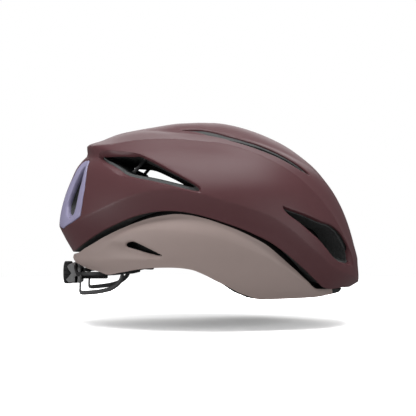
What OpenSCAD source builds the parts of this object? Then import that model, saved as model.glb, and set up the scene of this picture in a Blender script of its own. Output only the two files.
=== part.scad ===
// Road bike helmet with a ball-and-socket slip layer and a dial-adjusted rear cradle.
// +X is the wearer's front, +Z is up, the wearer's right is -Y, and the floor is z = 0.
// The main bodies are radius functions of azimuth a and elevation e about the ball centre.

/* [Fit on the head] */
// Head cavity, front to back
cavity_length = 194; // [186:1:200]
// Head cavity, side to side
cavity_width = 153; // [144:1:158]
/* [Ball and socket] */
// Foam between the ends of the head cavity and the ball's surface
ball_wall = 9; // [8:0.5:10]
// Foam between the top of the head cavity and the ball's surface
ball_crown = 13; // [11.5:0.5:16]
// Gap between the ball and the socket
slip_gap = 1.2; // [0.9:0.1:1.6]
// Width of the dark gap between the upper and the lower shell
rim_gap = 3.6; // [3.2:0.1:4.5]
// Radius of a slip tether
tether_r = 7; // [5:0.5:9]

/* [Outer shape, on the medium helmet] */
// Reach of the brow beyond the ball
brow_out = 32.5; // [30:0.5:36]
// Reach of the roof's trailing edge beyond the ball
tail_out = 43.5; // [39:0.5:46]
// Reach of the crown beside the spine beyond the ball
crown_out = 9.3; // [8.3:0.5:13.3]
// Reach of the sides beyond the ball
side_out = 12.6; // [10.1:0.5:15.6]
// Reach of the lower shell's sides beyond the ball
lower_side_out = 1.2; // [0.2:0.2:3]
// Rise of the central spine
spine_rise = 8.3; // [5:0.1:10]
// Roundness of the plan outline, 2 is an ellipse
plan_power = 2.15; // [2:0.05:2.4]

/* [Walls] */
// Outer skin thickness
skin_wall = 1.5; // [1:0.1:2]
// Lower shell thickness
lower_wall = 1.5; // [1:0.1:2]
// Play between a skin and its foam
skin_play = 0.15; // [0.1:0.05:0.3]
// Depth of the scoops beside the lower slits
scoop_depth = 3; // [0:0.5:4]
// Width of the long top slots
slot_width = 9; // [6:0.5:12]
// Bezel wall
bezel_wall = 2.2; // [1.6:0.1:3]

/* [Pads] */
// Brow pad half width
brow_pad_w = 11; // [8:1:14]
// Brow pad thickness
brow_pad_t = 6; // [4:0.5:8]
// Crown pad half width
crown_pad_w = 11; // [8:1:14]
// Crown pad thickness
crown_pad_t = 5.5; // [4:0.5:8]
// Side pad half width
side_pad_w = 9; // [7:1:12]
// Side pad thickness
side_pad_t = 5; // [4:0.5:7]
// Air left between a pad and the foam
pad_gap = 0.8; // [0.7:0.05:0.9]

/* [Rear cradle] */
// Depth of the dial axis below the ball centre
dial_drop = 14.5; // [13:0.5:15]
// Dial radius
dial_r = 10.4; // [9:0.1:11]
// Dial thickness
dial_t = 7.6; // [6:0.1:9]
// Distance of the dial housing behind the rail
housing_out = 19; // [18.5:0.5:20]
// Housing half width
housing_w = 15; // [14.6:0.2:18]
// Gear module
gear_module = 0.8; // [0.75:0.05:0.85]
// Pinion teeth
pinion_teeth = 10; // [9:1:11]
// Rack and pinion thickness
rack_t = 2; // [1.6:0.1:2.2]
// Radial play of the turning shaft
shaft_play = 0.05; // [0.03:0.01:0.08]
// Thickness of the arms' strip
arm_t = 1.8; // [1.4:0.1:2.2]
// Height of the arms' strip
arm_h = 5.5; // [4:0.1:6]
// Width of the stem
stem_w = 13; // [10:0.5:14]
// Thickness of the stem
stem_t = 2; // [1.6:0.1:2.4]
// Sliding play of the stem in its rail
stem_play = 0.3; // [0.2:0.05:0.4]
// Radius of the cradle's lower rails
rail_r = 1.6; // [1.2:0.1:2]

/* [Temple strips] */
// Thickness of the temple strips
strip_t = 1.6; // [1.2:0.1:2]
// Height of the temple strips
strip_h = 8; // [6:0.5:9]
// Radius of the temple pins' shank
pin_r = 2; // [1.5:0.1:2.5]

/* [Hidden] */

ball_r = cavity_length/2 + ball_wall;
cavity_rise = ball_r - ball_crown;
// Size against the medium helmet that the tables below are drawn for
size = ball_r/106;
ball_height = 33*size;
brow_reach = ball_r + size*brow_out;
tail_reach = ball_r + size*tail_out;
crown_reach = ball_r + size*crown_out;
side_reach = ball_r + size*side_out;
lower_side_reach = ball_r + size*lower_side_out;
dial_height = ball_height - dial_drop;
centre = [0, 0, ball_height];
socket_r = ball_r + slip_gap;
columns = 64;
crown_rows = 9;
sides = 8;
bridge_inset = 3.5;

// Radius profiles: elevation, then the share of the way from the crown's reach to the named reach
front_share = [[-30, 0.55], [-20, 0.81], [-10, 1], [0, 0.84], [10, 0.7], [20, 0.61], [30, 0.53],
               [38, 0.44], [48, 0.25], [57, 0.12], [66, 0.03], [78, -0.01], [90, 0]];
rear_share = [[-20, 0.31], [0, 0.55], [8, 0.68], [13, 0.77], [22, 0.84], [30, 0.89], [37, 0.91],
              [42.5, 1.02], [47, 0.89], [54, 0.72], [60.5, 0.53], [67.5, 0.3], [75, 0.14], [82, 0.03], [90, 0]];
side_share = [[-20, -2.8], [-10, -2.2], [0, -1.6], [10, -1], [20, -0.25], [30, 0.82], [38, 1],
              [45, 0.88], [60, 0.4], [75, 0.1], [90, 0]];
// Lower shell: elevation, then the radius added to its side reach
low_front = [[-30, 10], [-20, 13], [-12, 17.5], [0, 21], [12, 20], [30, 16]];
low_rear = [[-20, 4], [-6, 8], [-2, 13], [3, 18], [12, 21], [30, 22]];
low_side = [[-30, -10], [-17, -8], [-3, -6], [5, -3.2], [13, 0], [24, 1.5], [30, 2]];

// Edge of the upper shell: azimuth from the front, then elevation
rim_line = [[0, -12.4], [20, -12.6], [34, -11.6], [41, -7.5], [47.5, -2.6], [55, 3.2], [62, 8.1],
            [69.5, 12], [76.5, 15.1], [84, 17.8], [91, 20], [98, 21.6], [105, 22.3], [112.5, 22],
            [119.5, 20.6], [126, 18.4], [133.5, 15], [142, 11], [153, 6.2], [163.5, 3.2], [180, 2.2]];
// Height in degrees of the band that turns in above that edge, and how far in it turns
band_line = [[0, 4], [20, 6], [35, 9], [45, 10.3], [60, 10.5], [80, 8.5], [105, 7.8], [150, 7.2], [180, 9.5]];
band_drop = [[0, 6], [25, 5], [45, 4], [90, 4], [120, 4.5], [150, 6], [180, 9]];
// Lower edge of the whole helmet: azimuth, then height above the floor
foot_line = [[0, 0], [64, 0], [70, 3], [75, 6], [81, 11.5], [87, 16.5], [93, 22], [99, 26], [108, 27.6],
             [122, 26.3], [135, 22.3], [143, 20], [149, 23.5], [156, 27.5], [180, 29]];
// The spine: place along X, then its share of the rise, and its half width
spine_share = [[-75, 0], [-64, 0.1], [-45, 0.55], [-20, 0.96], [0, 1], [34, 0.84], [67, 0.6], [90, 0.27], [110, 0]];
spine_half = [[-75, 26], [-30, 31], [0, 35], [40, 39], [65, 39], [87, 33], [110, 16]];

// Vent corners on the skin, as azimuth and elevation
rear_vent = [[154.3, 39.9], [131.7, 44.5], [93.2, 30.8], [104.5, 32.2], [127.5, 34.4], [133.7, 35.5], [142.3, 37.7]];
front_vent = [[57.5, 22.1], [47.6, 19.7], [38.5, 16.4], [31.7, 13.5], [26.6, 9.4], [23.7, 6.3], [20, 0.8],
              [20.5, -1.8], [29.9, -1.1], [33, 1.5], [38.9, 6.7], [42.6, 10.8], [48.6, 15.7]];
port = [[163, 38], [157, 36], [151, 16.5], [160, 12], [170, 11.5], [173, 14]];
// The scoop behind the slit: azimuth of its two ends
scoop_front = 112;
scoop_rear = 150;
slit = [[128.5, 7], [127.5, 8.4], [124.5, 9], [121, 7.8], [112, 3.6], [112.8, 2.5], [117, 3.5], [124, 5.6]];
// Stations of the top slots along X, the middle of the slot there, and its share of the width
slot_x = size*[-30, -10, 15, 40, 62, 78, 89];
slot_mid = size*[30.5, 32, 45.5, 51.5, 53, 55.5, 52];
slot_taper = [0.12, 0.35, 1, 1, 0.9, 0.45, 0.12];
// Where each vent's walls run to
rear_vent_focus = size*[-45, 45, 110];
front_vent_focus = size*[35, 0, 45];
port_focus = size*[-60, -8, 88];

function ease_mid(h, t, y0, y1, m0, m1) =
    (2*t*t*t - 3*t*t + 1)*y0 + (t*t*t - 2*t*t + t)*h*m0 + (3*t*t - 2*t*t*t)*y1 + (t*t*t - t*t)*h*m1;
function step_of(table, x, i = 0) = i >= len(table) - 2 || x <= table[i + 1][0] ? i : step_of(table, x, i + 1);
function slope_at(table, i) = i == 0 || i == len(table) - 1 ? 0
    : (table[i + 1][1] - table[i - 1][1])/(table[i + 1][0] - table[i - 1][0]);
// Smooth curve through a table of pairs, level at both ends
function curve(table, x) =
    let(u = min(max(x, table[0][0]), table[len(table) - 1][0]), i = step_of(table, u),
        h = table[i + 1][0] - table[i][0])
    ease_mid(h, (u - table[i][0])/h, table[i][1], table[i + 1][1], slope_at(table, i), slope_at(table, i + 1));

function fold(a) = abs(a > 180 ? 360 - a : a);
function way(a, e) = [cos(e)*cos(a), -cos(e)*sin(a), sin(e)];
function place(a, e, r) = centre + r*way(a, e);
// Plan outline of the given half length and half width, a plain ellipse towards the crown
function oval(a, e, r_long, r_side) =
    let(n = 2 + (plan_power - 2)*min(1, (90 - e)/45))
    pow(pow(abs(cos(a))/r_long, n) + pow(abs(sin(a))/r_side, n), -1/n);
function mix(share, low, high) = low + share*(high - low);
function skin_base(a, e) = oval(a, e,
    cos(a) > 0 ? mix(curve(front_share, e), crown_reach, brow_reach)
               : mix(curve(rear_share, e), crown_reach, tail_reach),
    mix(curve(side_share, e), crown_reach, side_reach));
function spine_at(x, y) =
    let(t = abs(y)/(size*curve(spine_half, x/size)))
    t < 1 ? size*spine_rise*curve(spine_share, x/size)*(1 - t*t) : 0;
// Outer skin of the upper shell
function skin(a, e) =
    let(f = fold(a), band = curve(band_line, f), rim = curve(rim_line, f),
        r = skin_base(a, e) - size*curve(band_drop, f)*max(0, (rim + band - e)/band))
    r + (e > 10 ? spine_at(r*cos(e)*cos(a), r*cos(e)*sin(a)) : 0);
// Dish that leads air into the side slit: deepest along the slit, gone at its rear end
function scoop(f, e) =
    let(u = (f - scoop_front)/(scoop_rear - scoop_front), mid = mix(u, 2.2, 3.4) + 6*u*(1 - u), half = 1.2 + 4*u)
    u <= 0 || u >= 1 ? 0 : scoop_depth*pow(1 - u, 0.7)*min(1, u*6)*max(0, 1 - pow((e - mid)/half, 2));
// Outer skin of the lower shell
function low_skin(a, e) = oval(a, e,
    lower_side_reach + size*curve(cos(a) > 0 ? low_front : low_rear, e),
    lower_side_reach + size*curve(low_side, e)) - scoop(fold(a), e);
function cavity(a, e) =
    let(plan = 1/sqrt(pow(2*cos(a)/cavity_length, 2) + pow(2*sin(a)/cavity_width, 2)))
    e < 0 ? plan/cos(e) : 1/sqrt(pow(cos(e)/plan, 2) + pow(sin(e)/cavity_rise, 2));
// Elevation at which the inner ledge runs below the upper shell's edge
function ledge(a) =
    let(f = fold(a), tilt = atan((curve(rim_line, f + 1) - curve(rim_line, f - 1))/2))
    curve(rim_line, f) - rim_gap/cos(tilt)/low_skin(a, curve(rim_line, f))*180/PI;

// Surface through rings of points: closed on itself, or ended by two points. Each ring is seen
// running anticlockwise from the first ring's side, or clockwise where flip is true. From ring
// back on, where a wall returns inside, the faces are split along the other diagonal.
module loft(rings, ends = [], flip = false, back = 999) {
    n = len(rings);
    m = len(rings[0]);
    open = len(ends) > 0;
    walls = [for (i = [0 : n - (open ? 2 : 1)], j = [0 : m - 1])
        let(k = (j + 1)%m, a = i*m + j, b = i*m + k, c = ((i + 1)%n)*m + k, d = ((i + 1)%n)*m + j)
        each i < back ? [[a, b, c], [a, c, d]] : [[a, b, d], [b, c, d]]];
    caps = open ? [for (j = [0 : m - 1]) let(k = (j + 1)%m)
        each [[n*m, k, j], [n*m + 1, (n - 1)*m + j, (n - 1)*m + k]]] : [];
    faces = concat(walls, caps);
    polyhedron(concat([for (ring = rings) each ring], ends),
               flip ? [for (f = faces) [f[2], f[1], f[0]]] : faces);
}

function turn(i) = i*360/columns;
// Elevation of row k, from the edge's elevation up to near the crown
function row(low, k, n, knee) = k <= 2 ? low + k*knee/2 : mix((k - 2)/(n - 2), low + knee, 90);

// Vent cutter: walls run from the corners towards a focus, mirrored for side = -1
function mirror_y(p, side) = [p[0], side*p[1], p[2]];
module wedge(points, focus, near, far) {
    n = len(points);
    hull() polyhedron(
        concat([for (p = points) focus + near*(p - focus)], [for (p = points) focus + far*(p - focus)]),
        [[for (i = [0 : 2*n - 1]) i]]);
}
function corners(list, side) = [for (c = list) mirror_y(place(c[0], c[1], skin(c[0], c[1])), side)];
// Grows a ring of corners away from its middle by a distance
function middle(points) = [for (k = [0 : 2]) [for (p = points) p[k]]*[for (p = points) 1]/len(points)];
function grown(points, by) = let(m = middle(points)) [for (p = points) p + by*(p - m)/norm(p - m)];

module rear_vent_cut(grow = 0) for (s = [1, -1]) {
    p = grown(corners(rear_vent, s), grow);
    wedge(p, mirror_y(rear_vent_focus, s), 1.12, 0.42);
}
// The front vent is bent, so it is cut as two wedges
module front_vent_cut(grow = 0) for (s = [1, -1]) {
    p = grown(corners(front_vent, s), grow);
    wedge([p[0], p[1], p[2], p[3], p[10], p[11], p[12]], mirror_y(front_vent_focus, s), 1.12, 0.45);
    wedge([p[3], p[4], p[5], p[6], p[7], p[8], p[9], p[10]], mirror_y(front_vent_focus, s), 1.12, 0.45);
}
module port_cut(grow = 0, far = 0.5) for (s = [1, -1])
    wedge(grown(corners(port, s), grow), mirror_y(port_focus, s), 1.25, far);
// Point on the skin above x, y
function lift(x, y, k = 4, z = crown_reach) =
    k == 0 ? [x, y, ball_height + z]
    : let(a = atan2(-y, x), e = atan2(z, norm([x, y])), r = skin(a, e))
      lift(x, y, k - 1, sqrt(max(1, r*r - x*x - y*y)));
function slot_edge(i, out, side, grow) =
    let(y = slot_mid[i] + out*(size*slot_width/2*slot_taper[i] + grow))
    lift(slot_x[i], -side*y);
module slot_cut(first, last, depth, grow = 0) for (s = [1, -1], i = [first : last - 1])
    wedge([slot_edge(i, 1, s, grow), slot_edge(i, -1, s, grow),
           slot_edge(i + 1, -1, s, grow), slot_edge(i + 1, 1, s, grow)], centre, 1.08, depth);

// Upper shell
module dome(outer_r, inner_r, low, knee, rows) {
    ring = function (k, r) [for (i = [0 : columns - 1])
        let(a = turn(i), e = row(low(a), k, rows, knee(a))) place(a, e, r(a, e))];
    loft(concat([for (k = [rows - 1 : -1 : 0]) ring(k, outer_r)], [for (k = [0 : rows - 1]) ring(k, inner_r)]),
         [place(0, 90, outer_r(0, 90)), place(0, 90, inner_r(0, 90))], flip = true, back = rows);
}
rim_of = function (a) curve(rim_line, fold(a));
band_of = function (a) curve(band_line, fold(a));

module outer_shell() color([0.40, 0.27, 0.29]) difference() {
    dome(function (a, e) skin(a, e), function (a, e) skin(a, e) - skin_wall, rim_of, band_of, crown_rows + 3);
    rear_vent_cut();
    front_vent_cut();
    port_cut();
    slot_cut(0, len(slot_x) - 1, 0.85);
}

module outer_liner() color([0.13, 0.13, 0.13]) difference() {
    dome(function (a, e) skin(a, e) - skin_wall - skin_play, function (a, e) socket_r, rim_of, band_of, crown_rows + 3);
    rear_vent_cut(-1);
    front_vent_cut(-1);
    port_cut();
    slot_cut(0, len(slot_x) - 1, 0.8, -0.8);
}

// Frame round a rear port: flush outside, stepped in towards the opening
module bezel(side) {
    edge = grown(corners(port, side), -0.4);
    focus = mirror_y(port_focus, side);
    sunk = function (p, by) p + by*(focus - p)/norm(focus - p);
    rim = grown(edge, -bezel_wall);
    throat = grown(edge, -3*bezel_wall);
    color([0.55, 0.53, 0.66]) loft([
        [for (p = edge) sunk(p, -0.6)],
        [for (p = edge) sunk(p, 7)],
        [for (p = throat) sunk(p, 8)],
        [for (p = throat) sunk(p, 4)],
        [for (p = rim) sunk(p, -0.6)]], flip = side > 0);
}

// Bars of the inner frame that cross the top slots
module slot_bridges() color([0.1, 0.1, 0.1]) for (s = [1, -1]) {
    a = slot_edge(4, 1, s, -bridge_inset);
    b = slot_edge(4, -1, s, -bridge_inset);
    sunk = function (p) centre + 0.955*(p - centre);
    hull() {
        translate(sunk(a)) rotate([90, 0, 90]) cylinder(r = 1.5, h = 5, center = true, $fn = 16);
        translate(sunk(b)) rotate([90, 0, 90]) cylinder(r = 1.5, h = 5, center = true, $fn = 16);
    }
}

// Bars of the inner frame that cross the rear side vents
module vent_struts() color([0.1, 0.1, 0.1]) for (s = [1, -1]) {
    p = grown(corners(rear_vent, s), -1);
    focus = mirror_y(rear_vent_focus, s);
    low = mix(0.43, p[4], p[5]);
    high = mix(0.1, p[1], p[2]);
    sunk = function (q) focus + 0.9*(q - focus);
    a = sunk(mix(0.14, low, high));
    b = sunk(mix(0.875, low, high));
    hull() {
        translate(a) sphere(r = 1.6, $fn = 12);
        translate(b) sphere(r = 1.6, $fn = 12);
    }
}

// Elastomer discs that tie the ball to the socket
tether_at = [[70, 38], [290, 38], [150, 66], [210, 66]];
tether_t = 3;
tether_room = 3.6;
module at_tethers() for (t = tether_at) translate(centre) rotate([0, 90 - t[1], -t[0]]) children();
module slip_tethers() color([0.2, 0.2, 0.22]) at_tethers()
    translate([0, 0, ball_r + 0.15 - tether_t]) cylinder(r = tether_r, h = tether_t, $fn = 48);

// Ball, ledge and head cavity in one foam body
foot_of = function (a) size*max(0, curve(foot_line, fold(a)));
// Rings down the lower walls, as shares of the way from the ledge to the foot
wall_steps = [0, 0.25, 0.5, 0.75, 1];
function at_height(a, z, r, e, k = 4) = k == 0 ? e : at_height(a, z, r, asin((z - ball_height)/r(a, e)), k - 1);
module liner_body() {
    rows = crown_rows + 1;
    foam = function (a, e) low_skin(a, e) - lower_wall - skin_play;
    top_ring = function (k, r) [for (i = [0 : columns - 1])
        let(a = turn(i), e = mix(k/rows, ledge(a), 90)) place(a, e, r(a, e))];
    side_ring = function (t, r) [for (i = [0 : columns - 1])
        let(a = turn(i), e = mix(t, ledge(a), at_height(a, foot_of(a), r, -10))) place(a, e, r(a, e))];
    foot_ring = function (r) [for (i = [0 : columns - 1])
        let(a = turn(i), e = at_height(a, foot_of(a), r, -10), p = place(a, e, r(a, e))) [p[0], p[1], foot_of(a)]];
    loft(concat(
        [for (k = [rows - 1 : -1 : 0]) top_ring(k, function (a, e) ball_r)],
        [for (t = wall_steps) t < 1 ? side_ring(t, foam) : foot_ring(foam)],
        [foot_ring(function (a, e) cavity(a, e))],
        [for (t = [0.75, 0.5, 0.25]) side_ring(t, function (a, e) cavity(a, e))],
        [for (k = [0 : rows - 1]) top_ring(k, function (a, e) cavity(a, e))]),
        [place(0, 90, ball_r), place(0, 90, cavity_rise)], flip = true, back = rows + 4);
}

// Pocket for the height rail
rail_top = ball_height + 24;
rail_bottom = ball_height - 2;
rail_back = -cavity_length/2 - 2;
housing_x = rail_back - housing_out;
rail_plate = 2;
rail_lip = 1.2;
rail_wall = 1.5;
rail_half = stem_w/2 + stem_play + rail_wall;
stem_back = rail_back + rail_plate + stem_play;
stem_front = stem_back + stem_t;
rail_front = stem_front + stem_play + rail_lip;

anchor_at = [[58, 4], [302, 4], [128, 0], [232, 0]];
anchor_w = 22;
anchor_h = 9;
anchor_t = 3;
// Place of an anchor in the wall, as a share from the cavity to the shell
anchor_share = 0.31;
module at_anchors() for (k = [0 : 3]) {
    a = anchor_at[k][0];
    r = mix(anchor_share, cavity(a, 0), low_skin(a, 0));
    translate([r*cos(a), -r*sin(a), foot_of(a) + 0.4]) rotate([0, 0, -a]) children();
}
temple_a = 74;
temple_z = ball_height + 3;
strip_gap = 0.8;
// Direction square to the cavity wall at an azimuth, and a point that far inside the wall
function wall_turn(a) = atan2(sin(a)/pow(cavity_width, 2), cos(a)/pow(cavity_length, 2));
function temple_point(a, off) =
    let(r = cavity(a, 0), n = wall_turn(a)) [r*cos(a) - off*cos(n), -r*sin(a) + off*sin(n), 0];

module inner_liner() color([0.11, 0.11, 0.11]) difference() {
    liner_body();
    rear_vent_cut(-2);
    front_vent_cut(-2);
    slot_cut(3, 5, 0.7, -1.5);
    port_cut(-6, 0.3);
    at_tethers() translate([0, 0, ball_r - tether_t - 0.6]) cylinder(r = tether_r + tether_room, h = tether_t + 3, $fn = 32);
    translate([rail_back - 0.3, -rail_half - 0.3, rail_bottom - 20])
        cube([rail_front - rail_back + 12, 2*rail_half + 0.6, rail_top + 0.3 - rail_bottom + 20]);
    at_anchors() translate([-14, -anchor_w/2 - 0.3, -4]) cube([14 + anchor_t + 0.3, anchor_w + 0.6, anchor_h + 4.3]);
    for (s = [1, -1]) at_temple_pin(s) translate([0, 0, -2]) cylinder(r = pin_r + 0.3, h = 10.5, $fn = 20);
    slit_cut(0.3);
}

// The slit bends, so it is cut as two wedges
slit_focus = size*[-45, 0, 40];
module slit_cut(grow = 0) for (s = [1, -1]) {
    p = grown([for (c = slit) mirror_y(place(c[0], c[1], low_skin(c[0], c[1])), s)], grow);
    wedge([p[0], p[1], p[2], p[3], p[6], p[7]], mirror_y(slit_focus, s), 1.1, 0.86);
    wedge([p[3], p[4], p[5], p[6]], mirror_y(slit_focus, s), 1.1, 0.86);
}
// The shell stops at the brow in two steps, the lower one further back
trim_x = brow_reach*cos(35);
trim_step = 3;
trim_tall = size*35;
trim_short = size*4;
module brow_trim() for (s = [1, -1], k = [0, 1])
    hull() translate([trim_x - k*trim_step, s > 0 ? -ball_r : 0, -5])
        cube([ball_r/2, ball_r, 5 + (k > 0 ? trim_short : trim_tall)]);
module lower_shell() color([0.55, 0.48, 0.46]) difference() {
    outer_r = function (a, e) low_skin(a, e);
    inner_r = function (a, e) low_skin(a, e) - lower_wall;
    wall = function (t, r) [for (i = [0 : columns - 1])
        let(a = turn(i), foot = at_height(a, foot_of(a), r, -10), e = mix(t, ledge(a), foot),
            p = place(a, e, r(a, e))) t == 1 ? [p[0], p[1], foot_of(a)] : p];
    steps = len(wall_steps);
    loft(concat([for (t = wall_steps) wall(t, outer_r)],
                [for (k = [steps - 1 : -1 : 0]) wall(wall_steps[k], inner_r)]), flip = true, back = steps);
    slit_cut();
    brow_trim();
}

// Pads follow the cavity wall: path of unit directions, half width and thickness
function unit(v) = v/norm(v);
half_axes = [cavity_length/2, cavity_width/2, cavity_rise];
function wall_point(q) = centre + [q[0]*half_axes[0], q[1]*half_axes[1], q[2]*half_axes[2]];
function wall_in(q) = -unit([q[0]/half_axes[0], q[1]/half_axes[1], q[2]/half_axes[2]]);
// Offsets across a pad: share of the half width, share of the thickness
pad_section = [[-0.94, 0.02], [-0.5, 0], [0, 0], [0.5, 0], [0.94, 0.02], [1, 0.35], [0.86, 0.78], [0.5, 0.95],
               [0, 1], [-0.5, 0.95], [-0.86, 0.78], [-1, 0.35]];
module pad(path, half, thick, tone) {
    n = len(path);
    ring = function (i)
        let(q = path[i], t = unit(path[min(i + 1, n - 1)] - path[max(i - 1, 0)]), b = unit(cross(q, t)),
            end = sin(180*(i + 0.6)/(n + 0.2)), w = half*pow(end, 0.35), h = thick*pow(end, 0.5))
        [for (c = pad_section) let(p = unit(q + b*c[0]*w/(cavity_width/2)))
            wall_point(p) + (pad_gap + c[1]*h)*wall_in(p)];
    rings = [for (i = [0 : n - 1]) ring(i)];
    color(tone) loft(rings, [middle(rings[0]), middle(rings[n - 1])]);
}
pad_tone = [0.09, 0.09, 0.1];
module brow_pad() pad([for (a = [58 : -4 : -58]) unit([cos(a), sin(a), 0.14])], brow_pad_w, brow_pad_t, pad_tone);
module crown_pad(side) pad([for (t = [-40 : 5 : 42])
    unit([sin(t), -side*0.27, cos(t)])], crown_pad_w, crown_pad_t, pad_tone);
module side_pad(side) pad([for (t = [-34 : 4 : 34])
    unit([sin(t), -side*1.2, 0.62])], side_pad_w, side_pad_t, pad_tone);

// Strap anchor: a plate with a slot, set across a notch in the foam's lower edge
module strap_anchors() color([0.15, 0.15, 0.15]) at_anchors() difference() {
    translate([0, -anchor_w/2, 0]) cube([anchor_t, anchor_w, anchor_h]);
    translate([-1, -anchor_w/2 + 3, 2.5]) cube([anchor_t + 2, anchor_w - 6, 3]);
}

// Flat strip along points, turned to stay upright: height along Z, thickness across
function strip_ring(p, t, thick, high) =
    let(n = unit([t[1], -t[0], 0]), a = n*thick/2, b = [0, 0, high/2]) [p - a - b, p + a - b, p + a + b, p - a + b];
function along(points, i) = unit(points[min(i + 1, len(points) - 1)] - points[max(i - 1, 0)]);
module strip(points, thick, high) {
    n = len(points);
    rings = [for (i = [0 : n - 1]) strip_ring(points[i], along(points, i), thick, is_list(high) ? high[i] : high)];
    loft(rings, [points[0], points[n - 1]]);
}
module temple_strip(side) color([0.12, 0.12, 0.12]) difference() {
    strip([for (a = [68 : 4 : 132])
        let(p = temple_point(a, strip_gap + strip_t/2)) [p[0], side*p[1], temple_z - (a > 96 ? (a - 96)*0.12 : 0)]],
        strip_t, strip_h);
    at_temple_pin(side) translate([0, 0, -6]) cylinder(r = pin_r + 0.2, h = 12, $fn = 24);
}
// Frame of a temple pin: its own Z points out through the foam, from the strip's outer face
module at_temple_pin(side) {
    p = temple_point(temple_a, strip_gap);
    translate([p[0], side*p[1], temple_z]) rotate([0, 0, -side*wall_turn(temple_a)]) rotate([0, 90, 0]) children();
}
module temple_pins() color([0.2, 0.2, 0.2]) for (s = [1, -1]) at_temple_pin(s) {
    translate([0, 0, -strip_t - 1.3]) cylinder(r = pin_r + 2, h = 1.2, $fn = 24);
    translate([0, 0, -strip_t - 0.2]) cylinder(r = pin_r, h = strip_t + 7.5, $fn = 24);
}

// C-shaped rail in the foam's rear pocket
screw_r = 1.2;
screw_z = [ball_height + 5, ball_height + 17];
module height_rail() color([0.16, 0.16, 0.17]) difference() {
    translate([rail_back, -rail_half, rail_bottom])
        cube([rail_front - rail_back, 2*rail_half, rail_top - rail_bottom]);
    translate([rail_back + rail_plate, -stem_w/2 - stem_play, rail_bottom - 1])
        cube([stem_t + 2*stem_play, stem_w + 2*stem_play, rail_top - rail_bottom + 2]);
    translate([rail_front - rail_lip - 1, -stem_w/2 + 1.8, rail_bottom - 1])
        cube([rail_lip + 2, stem_w - 3.6, rail_top - rail_bottom + 2]);
    for (z = screw_z) translate([rail_back - 1, 0, z]) rotate([0, 90, 0]) {
        cylinder(r = screw_r + 0.1, h = rail_plate + 2, $fn = 24);
        translate([0, 0, rail_plate]) cylinder(r = 2.4, h = 2, $fn = 24);
    }
}
module rail_screws() color([0.3, 0.3, 0.3]) for (z = screw_z) translate([rail_back, 0, z]) rotate([0, 90, 0]) {
    translate([0, 0, 0.4]) cylinder(r = screw_r, h = rail_plate - 1.1, $fn = 24);
    translate([0, 0, rail_plate - 0.9]) cylinder(r = 2.2, h = 0.8, $fn = 24);
}

// Stem: slides in the rail, passes under the foam's rear edge and carries the dial housing
stem_top = rail_top - 1;
foot_low = dial_height - 5.5;
foot_t = 3;
mount_plate = 1.6;
module height_stem() color([0.14, 0.14, 0.14]) {
    translate([stem_back, -stem_w/2, foot_low]) cube([stem_t, stem_w, stem_top - foot_low]);
    translate([housing_x + mount_plate, -stem_w/2 + 1, foot_low])
        cube([stem_back - housing_x - mount_plate, stem_w - 2, foot_t]);
    translate([housing_x, -stem_w/2 + 1, foot_low]) cube([mount_plate, stem_w - 2, 10]);
}

// Dial housing: a base towards the head and a cover behind it, with the racks between
base_t = 2.5;
gear_room = 0.3;
cover_t = 3.4;
housing_h = 9.2;
pitch_r = gear_module*pinion_teeth/2;
rack_pitch = PI*gear_module;
base_x = housing_x - 0.1 - base_t;
rack_x = base_x - gear_room - rack_t;
cover_x = rack_x - gear_room;
cover_back = cover_x - cover_t;
dial_x = cover_back - 0.3;
rack_back = 2.6;
shaft_r = 2;
screw_y = 11.3;
module housing_outline(grow = 0) {
    offset(r = 3, $fn = 24) square([2*housing_w - 6 + 2*grow, 2*housing_h - 6 + 2*grow], center = true);
}
// Places a drawing of the Y-Z plane at x, with its thickness running towards +X
module at_x(x) translate([x, 0, dial_height]) rotate([90, 0, 90]) children();
module housing_base() color([0.36, 0.36, 0.37]) difference() {
    at_x(base_x) linear_extrude(base_t) housing_outline();
    at_x(base_x - 1) cylinder(r = shaft_r + shaft_play, h = 2.2, $fn = 32);
    for (s = [1, -1]) translate([base_x - 1, s*screw_y, dial_height]) rotate([0, 90, 0])
        cylinder(r = 1.1, h = base_t + 2, $fn = 24);
}
module rack_channel() for (s = [1, -1])
    translate([rack_x - gear_room, -30, dial_height + s*(pitch_r + 1.25*gear_module/2 + rack_back/2) - 3.1])
        cube([rack_t + 2*gear_room, 60, 6.2]);
module housing_cover() color([0.36, 0.36, 0.37]) difference() {
    union() {
        at_x(cover_back) linear_extrude(base_x - cover_back - 0.1) housing_outline();
        for (s = [1, -1]) translate([0, s*(dial_r + 1.4), dial_height]) rotate([90, 0, 0])
            linear_extrude(2.2, center = true)
                polygon([[cover_back + 0.5, 8], [cover_back - 5, 5.2], [cover_back - 1.2, -0.8],
                         [cover_back - 5.8, -6], [cover_back + 0.5, -8.5]]);
    }
    rack_channel();
    at_x(rack_x - gear_room) cylinder(r = pitch_r + gear_module + 0.6, h = rack_t + 2*gear_room + 1, $fn = 40);
    at_x(cover_back - 1) cylinder(r = shaft_r + shaft_play, h = cover_t + 2, $fn = 32);
    for (s = [1, -1]) translate([cover_back + 1, s*screw_y, dial_height]) rotate([0, 90, 0])
        cylinder(r = 1.1, h = 12, $fn = 24);
}
module housing_screws() color([0.3, 0.3, 0.3]) for (s = [1, -1])
    translate([cover_back + 1.3, s*screw_y, dial_height]) rotate([0, 90, 0]) {
        cylinder(r = 1, h = housing_x - cover_back - 1.3, $fn = 24);
        translate([0, 0, housing_x - cover_back - 1.3]) cylinder(r = 1.9, h = 1.2, $fn = 24);
    }

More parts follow.
